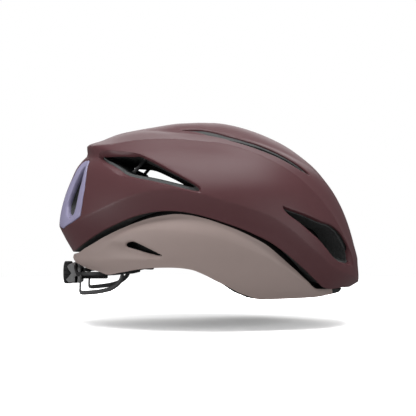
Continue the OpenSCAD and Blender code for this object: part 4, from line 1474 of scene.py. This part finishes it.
    def build(self) -> None:
        """Builds and places the foam."""
        sheet = DirectionMesh(self.fineness)
        sheet.cut(self.foot)
        sheet.keep(self.foot)
        shell = LowerShell(self.looks)
        sheet.cut(lambda d: shell.below_top(d) - self.ledge_drop)
        sheet.cut(lambda d: shell.below_top(d) - self.ledge_drop - self.ledge_run)
        bm = sheet.thick(self.outer, FORM.cavity, self.bend)
        obj = finish_mesh(bm, "lower_foam", self.looks.foam)
        # Each cutter is clear of itself, as the boolean needs
        vents, pockets, holes, crossing = bmesh.new(), bmesh.new(), bmesh.new(), bmesh.new()
        self.vents(vents, crossing, holes)
        self.seats(pockets, holes)
        for cutter in (vents, pockets, holes, crossing):
            carve(obj, cutter)
        place(obj, "inner", "foam", "inner_liner")


@dataclass
class Pads:
    """Five knitted pads that follow the cavity, with sewn channels across and a seam round the border."""

    looks: Finishes
    # Distance off the cavity wall
    gap: float = 0.8
    # Sewn channels: the distance between them, their half width, their depth and the waist that they pull in
    channel: float = 13.0
    seam_half: float = 1.1
    seam_depth: float = 0.55
    waist: float = 0.05
    waist_half: float = 3.0
    # Place of the border seam, as a share of the half width
    border: float = 0.8
    # Shape of the section: how full its crown is, the share that its rim keeps and how its edge comes up
    crown_power: float = 3.2
    rim_share: float = 0.3
    edge_run: float = 0.8
    edge_start: float = 0.25
    back_share: float = 0.97
    # Shape of the ends: the shares of the path that are built, and how the width and the height come in
    span: tuple[float, float] = (0.003, 0.997)
    end_width: float = 0.35
    end_height: float = 0.5
    across: int = 26
    sharp: float = 70.0
    # Angles in degrees between which each pad runs, and its share of the cavity's width or height
    brow_turn: tuple[float, float] = (58.0, -58.0)
    brow_lift: float = 0.14
    crown_turn: tuple[float, float] = (-25.0, 42.0)
    crown_side: float = 0.27
    flank_turn: tuple[float, float] = (-34.0, 34.0)
    flank_side: float = 1.2
    flank_lift: float = 0.62

    def wall(self, q: Array) -> tuple[Array, Array]:
        """Finds the cavity wall.

        Args:
            q: unit directions in the cavity stretched to a ball.

        Returns:
            Points on the wall in millimetres and the inward directions there.
        """
        half = np.array([FORM.cavity_length / 2, FORM.cavity_width / 2, FORM.cavity_rise])
        inward = -q / half
        return q * half + [0, 0, FORM.ball_height], inward / np.linalg.norm(inward, axis=-1, keepdims=True)

    def unit(self, q: Array) -> Array:
        """Rows scaled to unit length."""
        return q / np.linalg.norm(q, axis=1)[:, None]

    def pad(self, name: str, path: Field, half: float, thick: float, rows: int) -> None:
        """Builds one pad.

        Args:
            name: the piece's name and the solid's.
            path: directions along the middle line for shares from 0 to 1.
            half: half width in millimetres.
            thick: thickness in millimetres.
            rows: rings along it.
        """
        s = np.linspace(*self.span, rows)
        q = self.unit(path(s))
        run = np.gradient(q, axis=0)
        b = self.unit(np.cross(q, self.unit(run)))
        mid, _ = self.wall(q)
        along = np.concatenate([[0], np.cumsum(np.linalg.norm(np.diff(mid, axis=0), axis=1))])
        count = max(2, round(along[-1] / self.channel))
        step = along[-1] / count
        off = np.abs((along / step + 0.5) % 1 - 0.5) * step
        channel = 1 - self.seam_depth * np.exp(-((off / self.seam_half) ** 2))
        waist = 1 - self.waist * np.exp(-((off / self.waist_half) ** 2))
        end = np.sin(np.pi * s)
        face = np.cos(np.linspace(0, np.pi, self.across))
        back = face[::-1][1:-1]
        v = np.concatenate([face, back * self.back_share])
        rings = []
        for k in range(rows):
            w = half * end[k] ** self.end_width * waist[k]
            edge = (1 - np.abs(face)) * w
            crown = np.sqrt(np.clip(1 - np.abs(face) ** self.crown_power, 0, 1)) * channel[k]
            inside = ((1 - np.abs(face)) - (1 - self.border)) * w / self.seam_half
            seam = 1 - self.seam_depth * np.exp(-(inside**2))
            rise = thick * end[k] ** self.end_height * (self.rim_share + (1 - self.rim_share) * crown * seam)
            rise = rise * np.clip(edge / self.edge_run + self.edge_start, 0, 1)
            h = np.concatenate([rise, np.zeros(len(back))])
            p, inward = self.wall(self.unit(q[k] + np.outer(v * w / (FORM.cavity_width / 2), b[k])))
            rings.append((p + (self.gap + h)[:, None] * inward) * MM)
        bm = bmesh.new()
        loft(bm, rings)
        obj = finish_mesh(bm, name + "_quilted", self.looks.knit, self.sharp)
        place(obj, "inner", "pad_fabric", name)

    def turn(self, s: Array, span: tuple[float, float]) -> Array:
        """Angles in radians for shares from 0 to 1 of a span in degrees."""
        start, end = span
        return np.radians(start + (end - start) * s)

    def brow(self, s: Array) -> Array:
        """Directions along the brow pad for shares from 0 to 1."""
        a = self.turn(s, self.brow_turn)
        return np.stack(np.broadcast_arrays(np.cos(a), np.sin(a), self.brow_lift), axis=1)

    def crown(self, s: Array, side: int) -> Array:
        """Directions along a crown pad for shares from 0 to 1."""
        t = self.turn(s, self.crown_turn)
        return np.stack(np.broadcast_arrays(np.sin(t), -self.crown_side * side, np.cos(t)), axis=1)

    def flank(self, s: Array, side: int) -> Array:
        """Directions along a side pad for shares from 0 to 1."""
        t = self.turn(s, self.flank_turn)
        return np.stack(np.broadcast_arrays(np.sin(t), -self.flank_side * side, self.flank_lift), axis=1)

    def build(self) -> None:
        """Builds all five pads."""
        self.pad("brow_pad", self.brow, 11, 6, 260)
        for side, word in SIDES:
            self.pad(f"crown_pad_{word}", lambda s, side=side: self.crown(s, side), 11, 5.5, 160)
            self.pad(f"side_pad_{word}", lambda s, side=side: self.flank(s, side), 9, 5, 130)


@dataclass
class Anchors:
    """Four strap anchors in notches of the foam's lower edge."""

    looks: Finishes
    azimuths: tuple[float, ...] = (58.0, -58.0, 128.0, -128.0)
    # Place between the cavity's wall and the outer skin, and the height over the lower edge
    share: float = 0.31
    lift: float = 0.4
    # Plate and strap slot: half width, half height and corner radius, and the height of the middle of each
    plate: Point = (11.0, 4.5, 1.6)
    plate_mid: float = 4.5
    strap_slot: Point = (8.0, 1.5, 0.7)
    slot_mid: float = 4.0
    thick: float = 3.0
    soften: float = 0.4
    flare: float = 0.35

    def frames(self) -> list[tuple[Array, tuple[Array, Array]]]:
        """Where the anchors stand.

        Returns:
            Place of each anchor with its outward and sideways directions.
        """
        rows = []
        for a in self.azimuths:
            way = direction(np.array([a]), np.array([0.0]))
            r = (1 - self.share) * FORM.cavity(way)[0] + self.share * FORM.low_skin(way)[0]
            out = way[0]
            side = np.array([-out[1], out[0], 0.0])
            foot = max(0.0, float(FORM.foot_line(np.array([abs(a)]))[0])) + self.lift
            rows.append((r * out + np.array([0, 0, foot]), (out, side)))
        return rows

    def build(self) -> None:
        """Builds the anchors as one piece."""
        bm = bmesh.new()
        plate, slot = rounded(*self.plate), rounded(*self.strap_slot)
        soft, thick, flare = self.soften, self.thick, self.flare
        # Outline, its growth, the distance outwards and the height of its middle
        section = [(plate, grow, x, self.plate_mid)
                   for grow, x in ((-soft, 0), (0, soft), (0, thick - soft), (-soft, thick))]
        section += [(slot, grow, x, self.slot_mid)
                    for grow, x in ((flare, thick), (0, thick - soft), (0, soft), (flare, 0))]
        for spot, (out, side) in self.frames():
            rings = []
            for shape, grow, x, z in section:
                p = shape * (1 + grow / np.abs(shape).max(axis=0))
                upright = np.array([0, 0, z]) + p[:, 1:] * [0, 0, 1]
                rings.append((spot + x * out + p[:, :1] * side + upright) * MM)
            loft(bm, rings, closed=True)
        obj = finish_mesh(bm, "strap_anchor_plates", self.looks.nylon)
        place(obj, "inner", "black_nylon", "strap_anchors")


@dataclass
class TempleStrips:
    """Flat strips along the cavity's sides with the pins that hold them."""

    looks: Finishes
    # Distance off the cavity wall, thickness and height of a strip
    gap: float = 0.8
    thick: float = 1.6
    high: float = 8.0
    boxy: float = 0.3
    section_points: int = 28
    # Azimuths that a strip runs between, its height over the ball centre and its dip towards the rear
    start: float = 68.0
    end: float = 132.1
    lift: float = 3.0
    dip_from: float = 96.0
    dip: float = 0.12
    # Flex ribs: their depth, the azimuths that they stand between and their wave in degrees per degree
    rib: float = 0.1
    rib_span: tuple[float, float] = (84.0, 126.0)
    rib_turn: float = 60.0
    # Azimuth of the pin, and its radius and place along its axis from the head to the tip
    pin_at: float = 74.0
    pin: tuple[tuple[float, float], ...] = (
        (1.2, -2.55), (1.5, -2.9), (3.2, -2.9), (3.8, -2.7), (4.0, -2.3), (4.0, -1.75), (2.0, -1.7),
        (2.0, 6.9), (1.5, 7.3))

    def point(self, a: Array, off: float, side: int) -> tuple[Array, Array]:
        """Finds points off the cavity wall.

        Args:
            a: azimuths in degrees.
            off: distance off the wall in millimetres.
            side: 1 for the wearer's right, -1 for the left.

        Returns:
            The points in millimetres and the outward directions there.
        """
        t = np.radians(a)
        r = FORM.cavity(direction(a, np.zeros_like(a)))
        n = np.arctan2(np.sin(t) / FORM.cavity_width**2, np.cos(t) / FORM.cavity_length**2)
        out = np.stack([np.cos(n), -side * np.sin(n), np.zeros_like(n)], axis=1)
        z = FORM.ball_height + self.lift - np.where(a > self.dip_from, (a - self.dip_from) * self.dip, 0)
        return np.stack([r * np.cos(t), -side * r * np.sin(t), z], axis=1) - off * out, out

    def pin_frames(self) -> list[tuple[Array, Array]]:
        """Place and outward direction of both pins."""
        rows = [self.point(np.array([self.pin_at]), self.gap, side) for side, _ in SIDES]
        return [(p[0], out[0]) for p, out in rows]

    def build(self) -> None:
        """Builds both strips and the pins."""
        a = np.arange(self.start, self.end, 1.0)
        rise, fall = self.rib_span
        for side, word in SIDES:
            bm = bmesh.new()
            path, _ = self.point(a, self.gap + self.thick / 2, side)
            wave = np.cos(np.radians((a - rise) * self.rib_turn))
            rib = 1 + self.rib * wave * ((a > rise) & (a < fall))
            sweep(bm, path, self.thick * rib, np.full(len(a), self.high), self.boxy, self.section_points)
            obj = finish_mesh(bm, f"temple_bar_{word}", self.looks.nylon)
            place(obj, "inner", "black_nylon", f"temple_strip_{word}")
        bm = bmesh.new()
        for spot, way in self.pin_frames():
            lathe(bm, self.pin, spot, way)
        place(finish_mesh(bm, "temple_push_pins", self.looks.nylon), "inner", "black_nylon", "temple_pins")


@dataclass
class HeightGuide:
    """Rail in the foam's rear pocket and the stem that slides in it."""

    looks: Finishes
    # Rail: its back, its depth, its two ends and the softening of its edges
    back: float = -99.0
    depth: float = 5.8
    top: float = 57.0
    bottom: float = 31.0
    rail_soft: float = 0.3
    # Section of the rail: half widths of its outside, of its mouth and of its channel, and its wall and lips
    outside: float = 8.3
    mouth: float = 4.7
    channel: float = 6.8
    floor: float = 2.0
    lips: float = 1.2
    # Stem: its toothed face, the pitch, depth and range of the notches, its half width and its soft edges
    face: float = -94.7
    notch: float = 2.4
    notch_depth: float = 0.45
    notch_span: tuple[float, float] = (33.0, 54.0)
    stem_half: float = 6.2
    stem_soft: float = 0.25
    # Side outline of the stem: its foot below the notches and its back above them
    stem_foot: tuple[float, float] = (-118.0, 13.0)
    stem_back: tuple[tuple[float, float], ...] = (
        (-96.7, 56.0), (-96.7, 16.0), (-116.4, 16.0), (-116.4, 23.0), (-118.0, 23.0))

    def rail(self) -> None:
        """Builds the rail."""
        x, f = self.back, self.back + self.depth
        half = [(x + self.floor, self.channel), (f - self.lips, self.channel), (f - self.lips, self.mouth),
                (f, self.mouth), (f, self.outside), (x, self.outside)]
        shape = [(p, -q) for p, q in reversed(half)] + half
        bm = bmesh.new()
        prism(bm, [(p, q, self.bottom) for p, q in shape], (0, 0, self.top - self.bottom), self.rail_soft)
        place(finish_mesh(bm, "height_guide", self.looks.nylon), "inner", "black_nylon", "height_rail")

    def stem(self) -> None:
        """Builds the stem with the notches that the rail clicks into."""
        deep = self.face - self.notch_depth
        side = [self.stem_foot, (self.face, self.stem_foot[1])]
        for z in np.arange(*self.notch_span, self.notch):
            side += [(self.face, z), (deep, z + 0.5), (deep, z + 1.0), (self.face, z + 1.5)]
        side += [(self.face, self.stem_back[0][1]), *self.stem_back]
        bm = bmesh.new()
        prism(bm, [(p, -self.stem_half, z) for p, z in side], (0, 2 * self.stem_half, 0), self.stem_soft)
        place(finish_mesh(bm, "sliding_stem", self.looks.nylon), "cradle", "black_nylon", "height_stem")

    def build(self) -> None:
        """Builds the rail and the stem."""
        self.rail()
        self.stem()


@dataclass
class Dial:
    """Dial housing with its notched horns, the knurled knob, the arms and the lower rails."""

    looks: Finishes
    height: float = 18.5
    # Housing: its base and its cover, each with the place of its back, its thickness and its soft edge
    base: float = -120.6
    base_thick: float = 2.5
    base_soft: float = 0.45
    back: float = -126.6
    cover_thick: float = 5.9
    cover_soft: float = 1.0
    housing_size: Point = (15.0, 9.2, 3.0)
    # Horns beside the knob: distance and height from the cover's back on the dial's axis, their width and the
    # gap to the knob
    horn: tuple[tuple[float, float], ...] = (
        (1.2, 9.0), (-1.6, 8.2), (-3.9, 6.3), (-2.6, 3.4), (0.0, -0.3), (-2.6, -3.6), (-4.9, -6.2),
        (-2.2, -8.9), (1.2, -9.1))
    horn_width: float = 2.2
    horn_gap: float = 1.4
    horn_soft: float = 0.4
    # Channel of a rack: half height, start from the cover's back, depth, half length, room for the teeth
    channel: tuple[float, ...] = (3.1, 3.4, 2.6, 30.0, 0.5)
    # Bore of the dial's shaft, radius and place along the axis
    bore: tuple[tuple[float, float], ...] = ((2.05, -1.0), (2.05, 3.5), (5.4, 3.5), (5.4, 7.0))
    # Knob: its radius, its grooves and the fine ribs between them
    knob_r: float = 10.4
    knob_gap: float = 0.3
    grooves: int = 16
    groove: float = 0.85
    groove_half: float = 0.2
    groove_power: float = 0.8
    rib: float = 0.12
    rib_clear: float = 0.26
    ribs: int = 4
    points_per_groove: int = 14
    # Rings of the knob: radius, place along the axis and share of the knurling
    knob_rings: tuple[Point, ...] = (
        (2.1, 0, 0), (9.0, 0, 0), (10.0, -0.4, 0.7), (10.4, -1.1, 1), (10.4, -6.3, 1), (10.15, -6.9, 0.9),
        (9.5, -7.4, 0.4), (8.6, -7.6, 0), (7.4, -7.55, 0), (7.0, -7.1, 0), (3.6, -7.0, 0),
        (3.2, -7.45, 0), (2.3, -7.45, 0), (2.1, -7.2, 0))
    # Rack and pinion: pitch radius and module, depths of the rack's teeth in modules, their half widths as
    # shares of their width, the backlash, and the rack's two ends, its back, its place and its thickness
    pitch_r: float = 4.0
    module: float = 0.8
    root: float = 1.15
    tip: float = 0.95
    root_half: float = 0.68
    tip_half: float = 0.18
    backlash: float = 0.3
    rack_ends: tuple[float, float] = (-3.0, 14.0)
    rack_back: float = 2.6
    rack_x: float = -122.9
    rack_thick: float = 2.0
    # Arm: its middle line, drawn on the left side, its height at each point and its thickness
    arm_path: tuple[Point, ...] = (
        (-119, 31, 19), (-116.2, 36.5, 18.8), (-113, 41, 19.3), (-106, 45.5, 19.6), (-97, 48.5, 19.8),
        (-86, 48.5, 20.2), (-76, 46.2, 21), (-66, 45.5, 22.6))
    arm_start: tuple[float, ...] = (13.2, 18.0, 23.8)
    arm_start_x: float = -121.9
    arm_high: tuple[float, ...] = (2.6, 2.6, 2.6, 3.4, 3.6, 3.6, 3.6, 3.6, 3.6, 3.4, 3.2)
    arm_thick: float = 1.8
    arm_boxy: float = 0.4
    # Lower rail: its middle line, drawn on the left side, its diameter and the share of it at each point
    rail_path: tuple[Point, ...] = (
        (-114.8, 41.2, 18.4), (-115.4, 40.2, 10), (-115.6, 40, 5.4), (-115.0, 40.1, 3.1), (-112.6, 40.5, 2.4),
        (-100, 43, 3.5), (-91, 44.4, 5.3), (-86.5, 44.8, 7.1), (-82, 45, 10.3), (-79, 45, 14),
        (-77.2, 45.2, 19.4))
    rail_size: float = 3.2
    rail_shares: tuple[float, ...] = (0.55, 0.55, 0.62, 0.95, 1.2, 1.25, 1.25, 1.25, 1.25, 1.15, 1.0)
    rail_points: int = 18
    rail_up: Point = (0.0, 1.0, 0.02)

    def across(self, outline: Array, x: float) -> list[Point]:
        """A drawing of the Y-Z plane at x, centred on the dial's axis."""
        return [(x, y, self.height + z) for y, z in outline]

    def housing(self) -> None:
        """Builds the base and the cover with its horns and rack channels."""
        shape = rounded(*self.housing_size)
        bm = bmesh.new()
        prism(bm, self.across(shape, self.base), (self.base_thick, 0, 0), self.base_soft)
        obj = finish_mesh(bm, "dial_base_plate", self.looks.housing)
        place(obj, "cradle", "housing_grey", "housing_base")
        bm = bmesh.new()
        prism(bm, self.across(shape, self.back), (self.cover_thick, 0, 0), self.cover_soft)
        obj = finish_mesh(bm, "dial_cover", self.looks.housing)
        horns, room, bore = bmesh.new(), bmesh.new(), bmesh.new()
        half, start, depth, length, tooth = self.channel
        for side, _ in SIDES:
            y = side * (self.knob_r + self.horn_gap) - self.horn_width / 2
            outline = [(self.back + x, y, self.height + z) for x, z in self.horn]
            prism(horns, outline, (0, self.horn_width, 0), self.horn_soft)
            mid = self.height + side * (self.pitch_r + tooth + self.rack_back / 2)
            x = self.back + start
            corners = ((x, mid - half), (x + depth, mid - half), (x + depth, mid + half), (x, mid + half))
            prism(room, [(p, -length, z) for p, z in corners], (0, 2 * length, 0))
        lathe(bore, self.bore, (self.back, 0, self.height), (1, 0, 0))
        carve(obj, horns, Joining.ADD)
        carve(obj, room)
        carve(obj, bore)
        place(obj, "cradle", "housing_grey", "housing_cover")

    def knob(self) -> None:
        """Builds the knurled knob."""
        t = np.linspace(0, 2 * np.pi, self.grooves * self.points_per_groove, endpoint=False)
        phase = (t * self.grooves / (2 * np.pi)) % 1
        away = np.abs(phase - 0.5)
        cut = np.clip(1 - (away / self.groove_half) ** 2, 0, 1) ** self.groove_power
        rib = self.rib * np.cos(t * self.grooves * self.ribs) * (away > self.rib_clear)
        x0 = self.back - self.knob_gap
        rings = []
        for r, x, share in self.knob_rings:
            radius = r - share * (self.groove * cut - np.minimum(0, rib))
            y, z = radius * np.cos(t), self.height + radius * np.sin(t)
            rings.append(np.stack([np.full_like(t, x0 + x), y, z], 1) * MM)
        bm = bmesh.new()
        loft(bm, rings, closed=True)
        place(finish_mesh(bm, "dial_grip", self.looks.rubber, 40), "dial", "dial_rubber", "dial_knob")

    def rack(self, side: int) -> list[Point]:
        """Draws a toothed rack beside the pinion.

        Args:
            side: 1 for the right arm's rack above the pinion, -1 for the left one's below it.

        Returns:
            Its outline in millimetres.
        """
        pitch = math.pi * self.module
        tooth = pitch / 2 - self.backlash
        wide, narrow = tooth * self.root_half, tooth * self.tip_half
        root, tip = self.root * self.module, -self.tip * self.module
        start, end = self.rack_ends
        outline = [(start, root)]
        for k in range(-3, 8):
            y = (k + 0.5) * pitch
            if y - pitch / 2 > start and y + pitch / 2 < end:
                outline += [(y - wide, root), (y - tooth / 2, 0), (y - narrow, tip), (y + narrow, tip),
                            (y + tooth / 2, 0), (y + wide, root)]
        outline += [(end, root), (end, root + self.rack_back), (start, root + self.rack_back)]
        return [(self.rack_x, -side * y, self.height + side * (self.pitch_r + z)) for y, z in outline]

    def arm(self, side: int, word: str) -> None:
        """Builds one arm with its rack.

        Args:
            side: 1 for right, -1 for left.
            word: the side's name.
        """
        flip = np.array([1.0, -float(side), 1.0])
        mid = self.height + side * (self.pitch_r + self.root * self.module + self.rack_back / 2)
        bm = bmesh.new()
        prism(bm, self.rack(side), (self.rack_thick, 0, 0))
        obj = finish_mesh(bm, f"cradle_arm_{word}", self.looks.nylon)
        start = [(self.arm_start_x, y, mid) for y in self.arm_start]
        points = smooth_path(np.array(start + list(self.arm_path)) * flip)
        strip = bmesh.new()
        thick = np.full(len(points), self.arm_thick)
        sweep(strip, points, thick, smooth_path(self.arm_high), self.arm_boxy)
        carve(obj, strip, Joining.ADD)
        place(obj, f"{word}_band", "black_nylon", f"arm_{word}")

    def lower_rail(self, side: int, word: str) -> None:
        """Builds one lower rail.

        Args:
            side: 1 for right, -1 for left.
            word: the side's name.
        """
        bm = bmesh.new()
        path = smooth_path(np.array(self.rail_path) * np.array([1.0, -float(side), 1.0]))
        size = self.rail_size * smooth_path(self.rail_shares)
        sweep(bm, path, size, size, 1.0, self.rail_points, self.rail_up)
        obj = finish_mesh(bm, f"wire_rail_{word}", self.looks.rail, 60)
        place(obj, f"{word}_band", "lower_rail", f"lower_rail_{word}")

    def build(self) -> None:
        """Builds the housing, the knob, the arms and the rails."""
        self.housing()
        self.knob()
        for side, word in SIDES:
            self.arm(side, word)
            self.lower_rail(side, word)


@dataclass
class VentBars:
    """Bars across the rear vents and the elastomer discs of the slip layer."""

    looks: Finishes
    # Right bar: its path from the lower end up, its diameter and how much its ends swell
    path: tuple[Point, ...] = ((-66.5, -69.1, 107.8), (-61.0, -65.5, 114.3), (-55.8, -62.0, 120.4))
    size: float = 3.2
    swell: float = 1.2
    boxy: float = 0.8
    section_points: int = 18
    up: Point = (0.0, 1.0, 0.1)
    # Disc: radius and distance from the ball centre
    disc: tuple[tuple[float, float], ...] = (
        (6.3, 103.15), (7.0, 103.6), (7.0, 105.6), (6.4, 106.15), (3.4, 106.15), (3.0, 105.7))

    def build(self) -> None:
        """Builds the bars and the discs."""
        bm = bmesh.new()
        for side, _ in SIDES:
            path = smooth_path(np.array(self.path) * np.array([1.0, float(side), 1.0]), 6)
            size = self.size + self.swell * np.abs(np.linspace(-1, 1, len(path))) ** 3
            sweep(bm, path, size, size, self.boxy, self.section_points, self.up)
        place(finish_mesh(bm, "vent_bars", self.looks.nylon), "outer", "inner_frame", "vent_struts")
        bm = bmesh.new()
        for a, e in LowerFoam.tethers:
            way = direction(np.array([a]), np.array([e]))[0]
            lathe(bm, self.disc, (0, 0, FORM.ball_height), way)
        obj = finish_mesh(bm, "slip_discs", self.looks.elastomer)
        place(obj, "tethers", "slip_elastomer", "slip_tethers")


@dataclass
class SolidLooks:
    """Finishes for the nodes that keep their solid shape."""

    looks: Finishes

    def build(self) -> None:
        """Assigns a material to every slot of the kept nodes."""
        table = {
            "slot_bridges": self.looks.nylon,
            "rail_screws": self.looks.steel,
            "housing_screws": self.looks.steel,
            "dial_screw": self.looks.steel,
            "pinion": self.looks.acetal,
        }
        for name, look in table.items():
            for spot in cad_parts[name].material_slots:
                spot.material = look
            LOG.info("%s: finish %s", name, look.name)


# Stage


@dataclass(frozen=True)
class Lamp:
    """Rectangular soft light: its place and the point it faces in metres, its width and height, its watts."""

    name: str
    spot: Point
    aim: Point
    size: tuple[float, float]
    power: float

    def build(self) -> None:
        """Adds the light, unseen by the camera."""
        data = bpy.data.lights.new(self.name, "AREA")
        data.shape = "RECTANGLE"
        data.size, data.size_y = self.size
        data.energy = self.power
        obj = bpy.data.objects.new(self.name, data)
        obj.location = self.spot
        obj.rotation_euler = (Vector(self.aim) - Vector(self.spot)).to_track_quat("-Z", "Y").to_euler()
        obj.visible_camera = False
        bpy.context.scene.collection.objects.link(obj)


@dataclass
class Stage:
    """Camera, lights, floor and white surroundings of the photograph."""

    eye: Point = (-0.0015, -1.1, 0.078)
    lens: float = 102.8
    sensor: float = 36.0
    view_end: float = 50.0
    # Floor: its half width, its depth below the helmet and its colour as the light and as the camera find it
    floor_half: float = 20.0
    floor_drop: float = 0.0276
    floor_albedo: float = 0.25
    gain: float = 4.0
    # Distances in metres from the middle between which the floor turns to plain white for the camera
    fade: tuple[float, float] = (0.3, 0.8)
    # Strength of the white surroundings as a light
    fill: float = 0.17
    lamps: tuple[Lamp, ...] = (
        Lamp("overhead", (0.03, -0.1, 1.0), (0.0, 0.0, 0.05), (0.9, 0.7), 7.3),
        Lamp("camera_side", (-0.1, -1.3, 0.3), (0.0, 0.0, 0.06), (1.4, 0.5), 0.8),
        Lamp("behind", (0.0, 1.3, 0.9), (0.0, 0.0, 0.05), (1.4, 0.8), 5.6),
        Lamp("rear_low", (-0.95, -0.55, 0.08), (-0.1, 0.0, 0.07), (0.6, 0.4), 3.9),
        Lamp("front_side", (0.9, -0.7, 0.25), (0.05, 0.0, 0.06), (0.8, 0.6), 2.6))

    def camera(self) -> None:
        """Adds the camera, level and square to the helmet's right side."""
        data = bpy.data.cameras.new("camera")
        data.lens, data.sensor_width = self.lens, self.sensor
        data.clip_end = self.view_end
        obj = bpy.data.objects.new("camera", data)
        obj.location, obj.rotation_euler = self.eye, (math.radians(90), 0.0, 0.0)
        bpy.context.scene.collection.objects.link(obj)
        bpy.context.scene.camera = obj

    def paper(self) -> bpy.types.Material:
        """Builds the floor's material.

        Returns:
            A grey paper that keeps the shadow, bright to the camera and plain white in the distance.
        """
        mat = bpy.data.materials.new("white_paper_floor")
        mat.use_nodes = True
        tree = mat.node_tree
        tree.nodes.clear()
        near, end = self.fade
        paper = node(tree, "BsdfDiffuse", {"Color": (self.floor_albedo,) * 3 + (1,)}).outputs["BSDF"]
        bright = node(tree, "BsdfDiffuse", {"Color": (self.gain,) * 3 + (1,)}).outputs["BSDF"]
        glow = node(tree, "Emission", {"Color": (1, 1, 1, 1), "Strength": 1.0}).outputs["Emission"]
        spot = node(tree, "TexCoord").outputs["Object"]
        away = node(tree, "VectorMath", {}, {0: spot}, operation="LENGTH").outputs["Value"]
        far = node(tree, "MapRange", {"From Min": near, "From Max": end}, {"Value": away},
                   interpolation_type="SMOOTHSTEP").outputs["Result"]
        seen = node(tree, "MixShader", {}, {"Fac": far, 1: bright, 2: glow}).outputs["Shader"]
        camera = node(tree, "LightPath").outputs["Is Camera Ray"]
        mix = node(tree, "MixShader", {}, {"Fac": camera, 1: paper, 2: seen})
        node(tree, "OutputMaterial", {}, {"Surface": mix.outputs["Shader"]})
        return mat

    def floor(self) -> None:
        """Adds a plain pale floor out to the horizon, below the helmet as the photograph's shadow is."""
        bm = bmesh.new()
        bmesh.ops.create_grid(bm, x_segments=1, y_segments=1, size=self.floor_half)
        bmesh.ops.translate(bm, verts=bm.verts[:], vec=(0.0, 0.0, -self.floor_drop))
        mesh = bpy.data.meshes.new("floor")
        bm.to_mesh(mesh)
        bm.free()
        mesh.materials.append(self.paper())
        obj = bpy.data.objects.new("floor", mesh)
        bpy.context.scene.collection.objects.link(obj)

    def world(self) -> None:
        """Sets surroundings that are white to the camera and a softer grey as a light."""
        world = bpy.data.worlds.new("studio")
        world.use_nodes = True
        bpy.context.scene.world = world
        tree = world.node_tree
        tree.nodes.clear()
        camera = node(tree, "LightPath").outputs["Is Camera Ray"]
        power = node(tree, "MapRange", {"To Min": self.fill, "To Max": 1.0}, {"Value": camera})
        back = node(tree, "Background", {"Color": (1, 1, 1, 1)}, {"Strength": power.outputs["Result"]})
        node(tree, "OutputWorld", {}, {"Surface": back.outputs["Background"]})

    def build(self) -> None:
        """Sets the whole stage."""
        self.camera()
        self.floor()
        self.world()
        for lamp in self.lamps:
            lamp.build()
        bpy.context.scene.view_settings.view_transform = "Standard"
        LOG.info("stage set")


def main() -> None:
    """Builds every piece in order and dresses it."""
    logging.basicConfig(level=logging.INFO, format="%(name)s %(message)s")
    Stage().build()
    looks = Finishes()
    parts = (UpperShell, UpperFoam, LowerShell, PortBezels, LowerFoam, VentBars, Pads, Anchors, TempleStrips,
             HeightGuide, Dial, SolidLooks)
    for part in parts:
        part(looks).build()
        LOG.info("%s finished", part.__name__)
    bpy.context.view_layer.update()


if __name__ == "__main__":
    main()
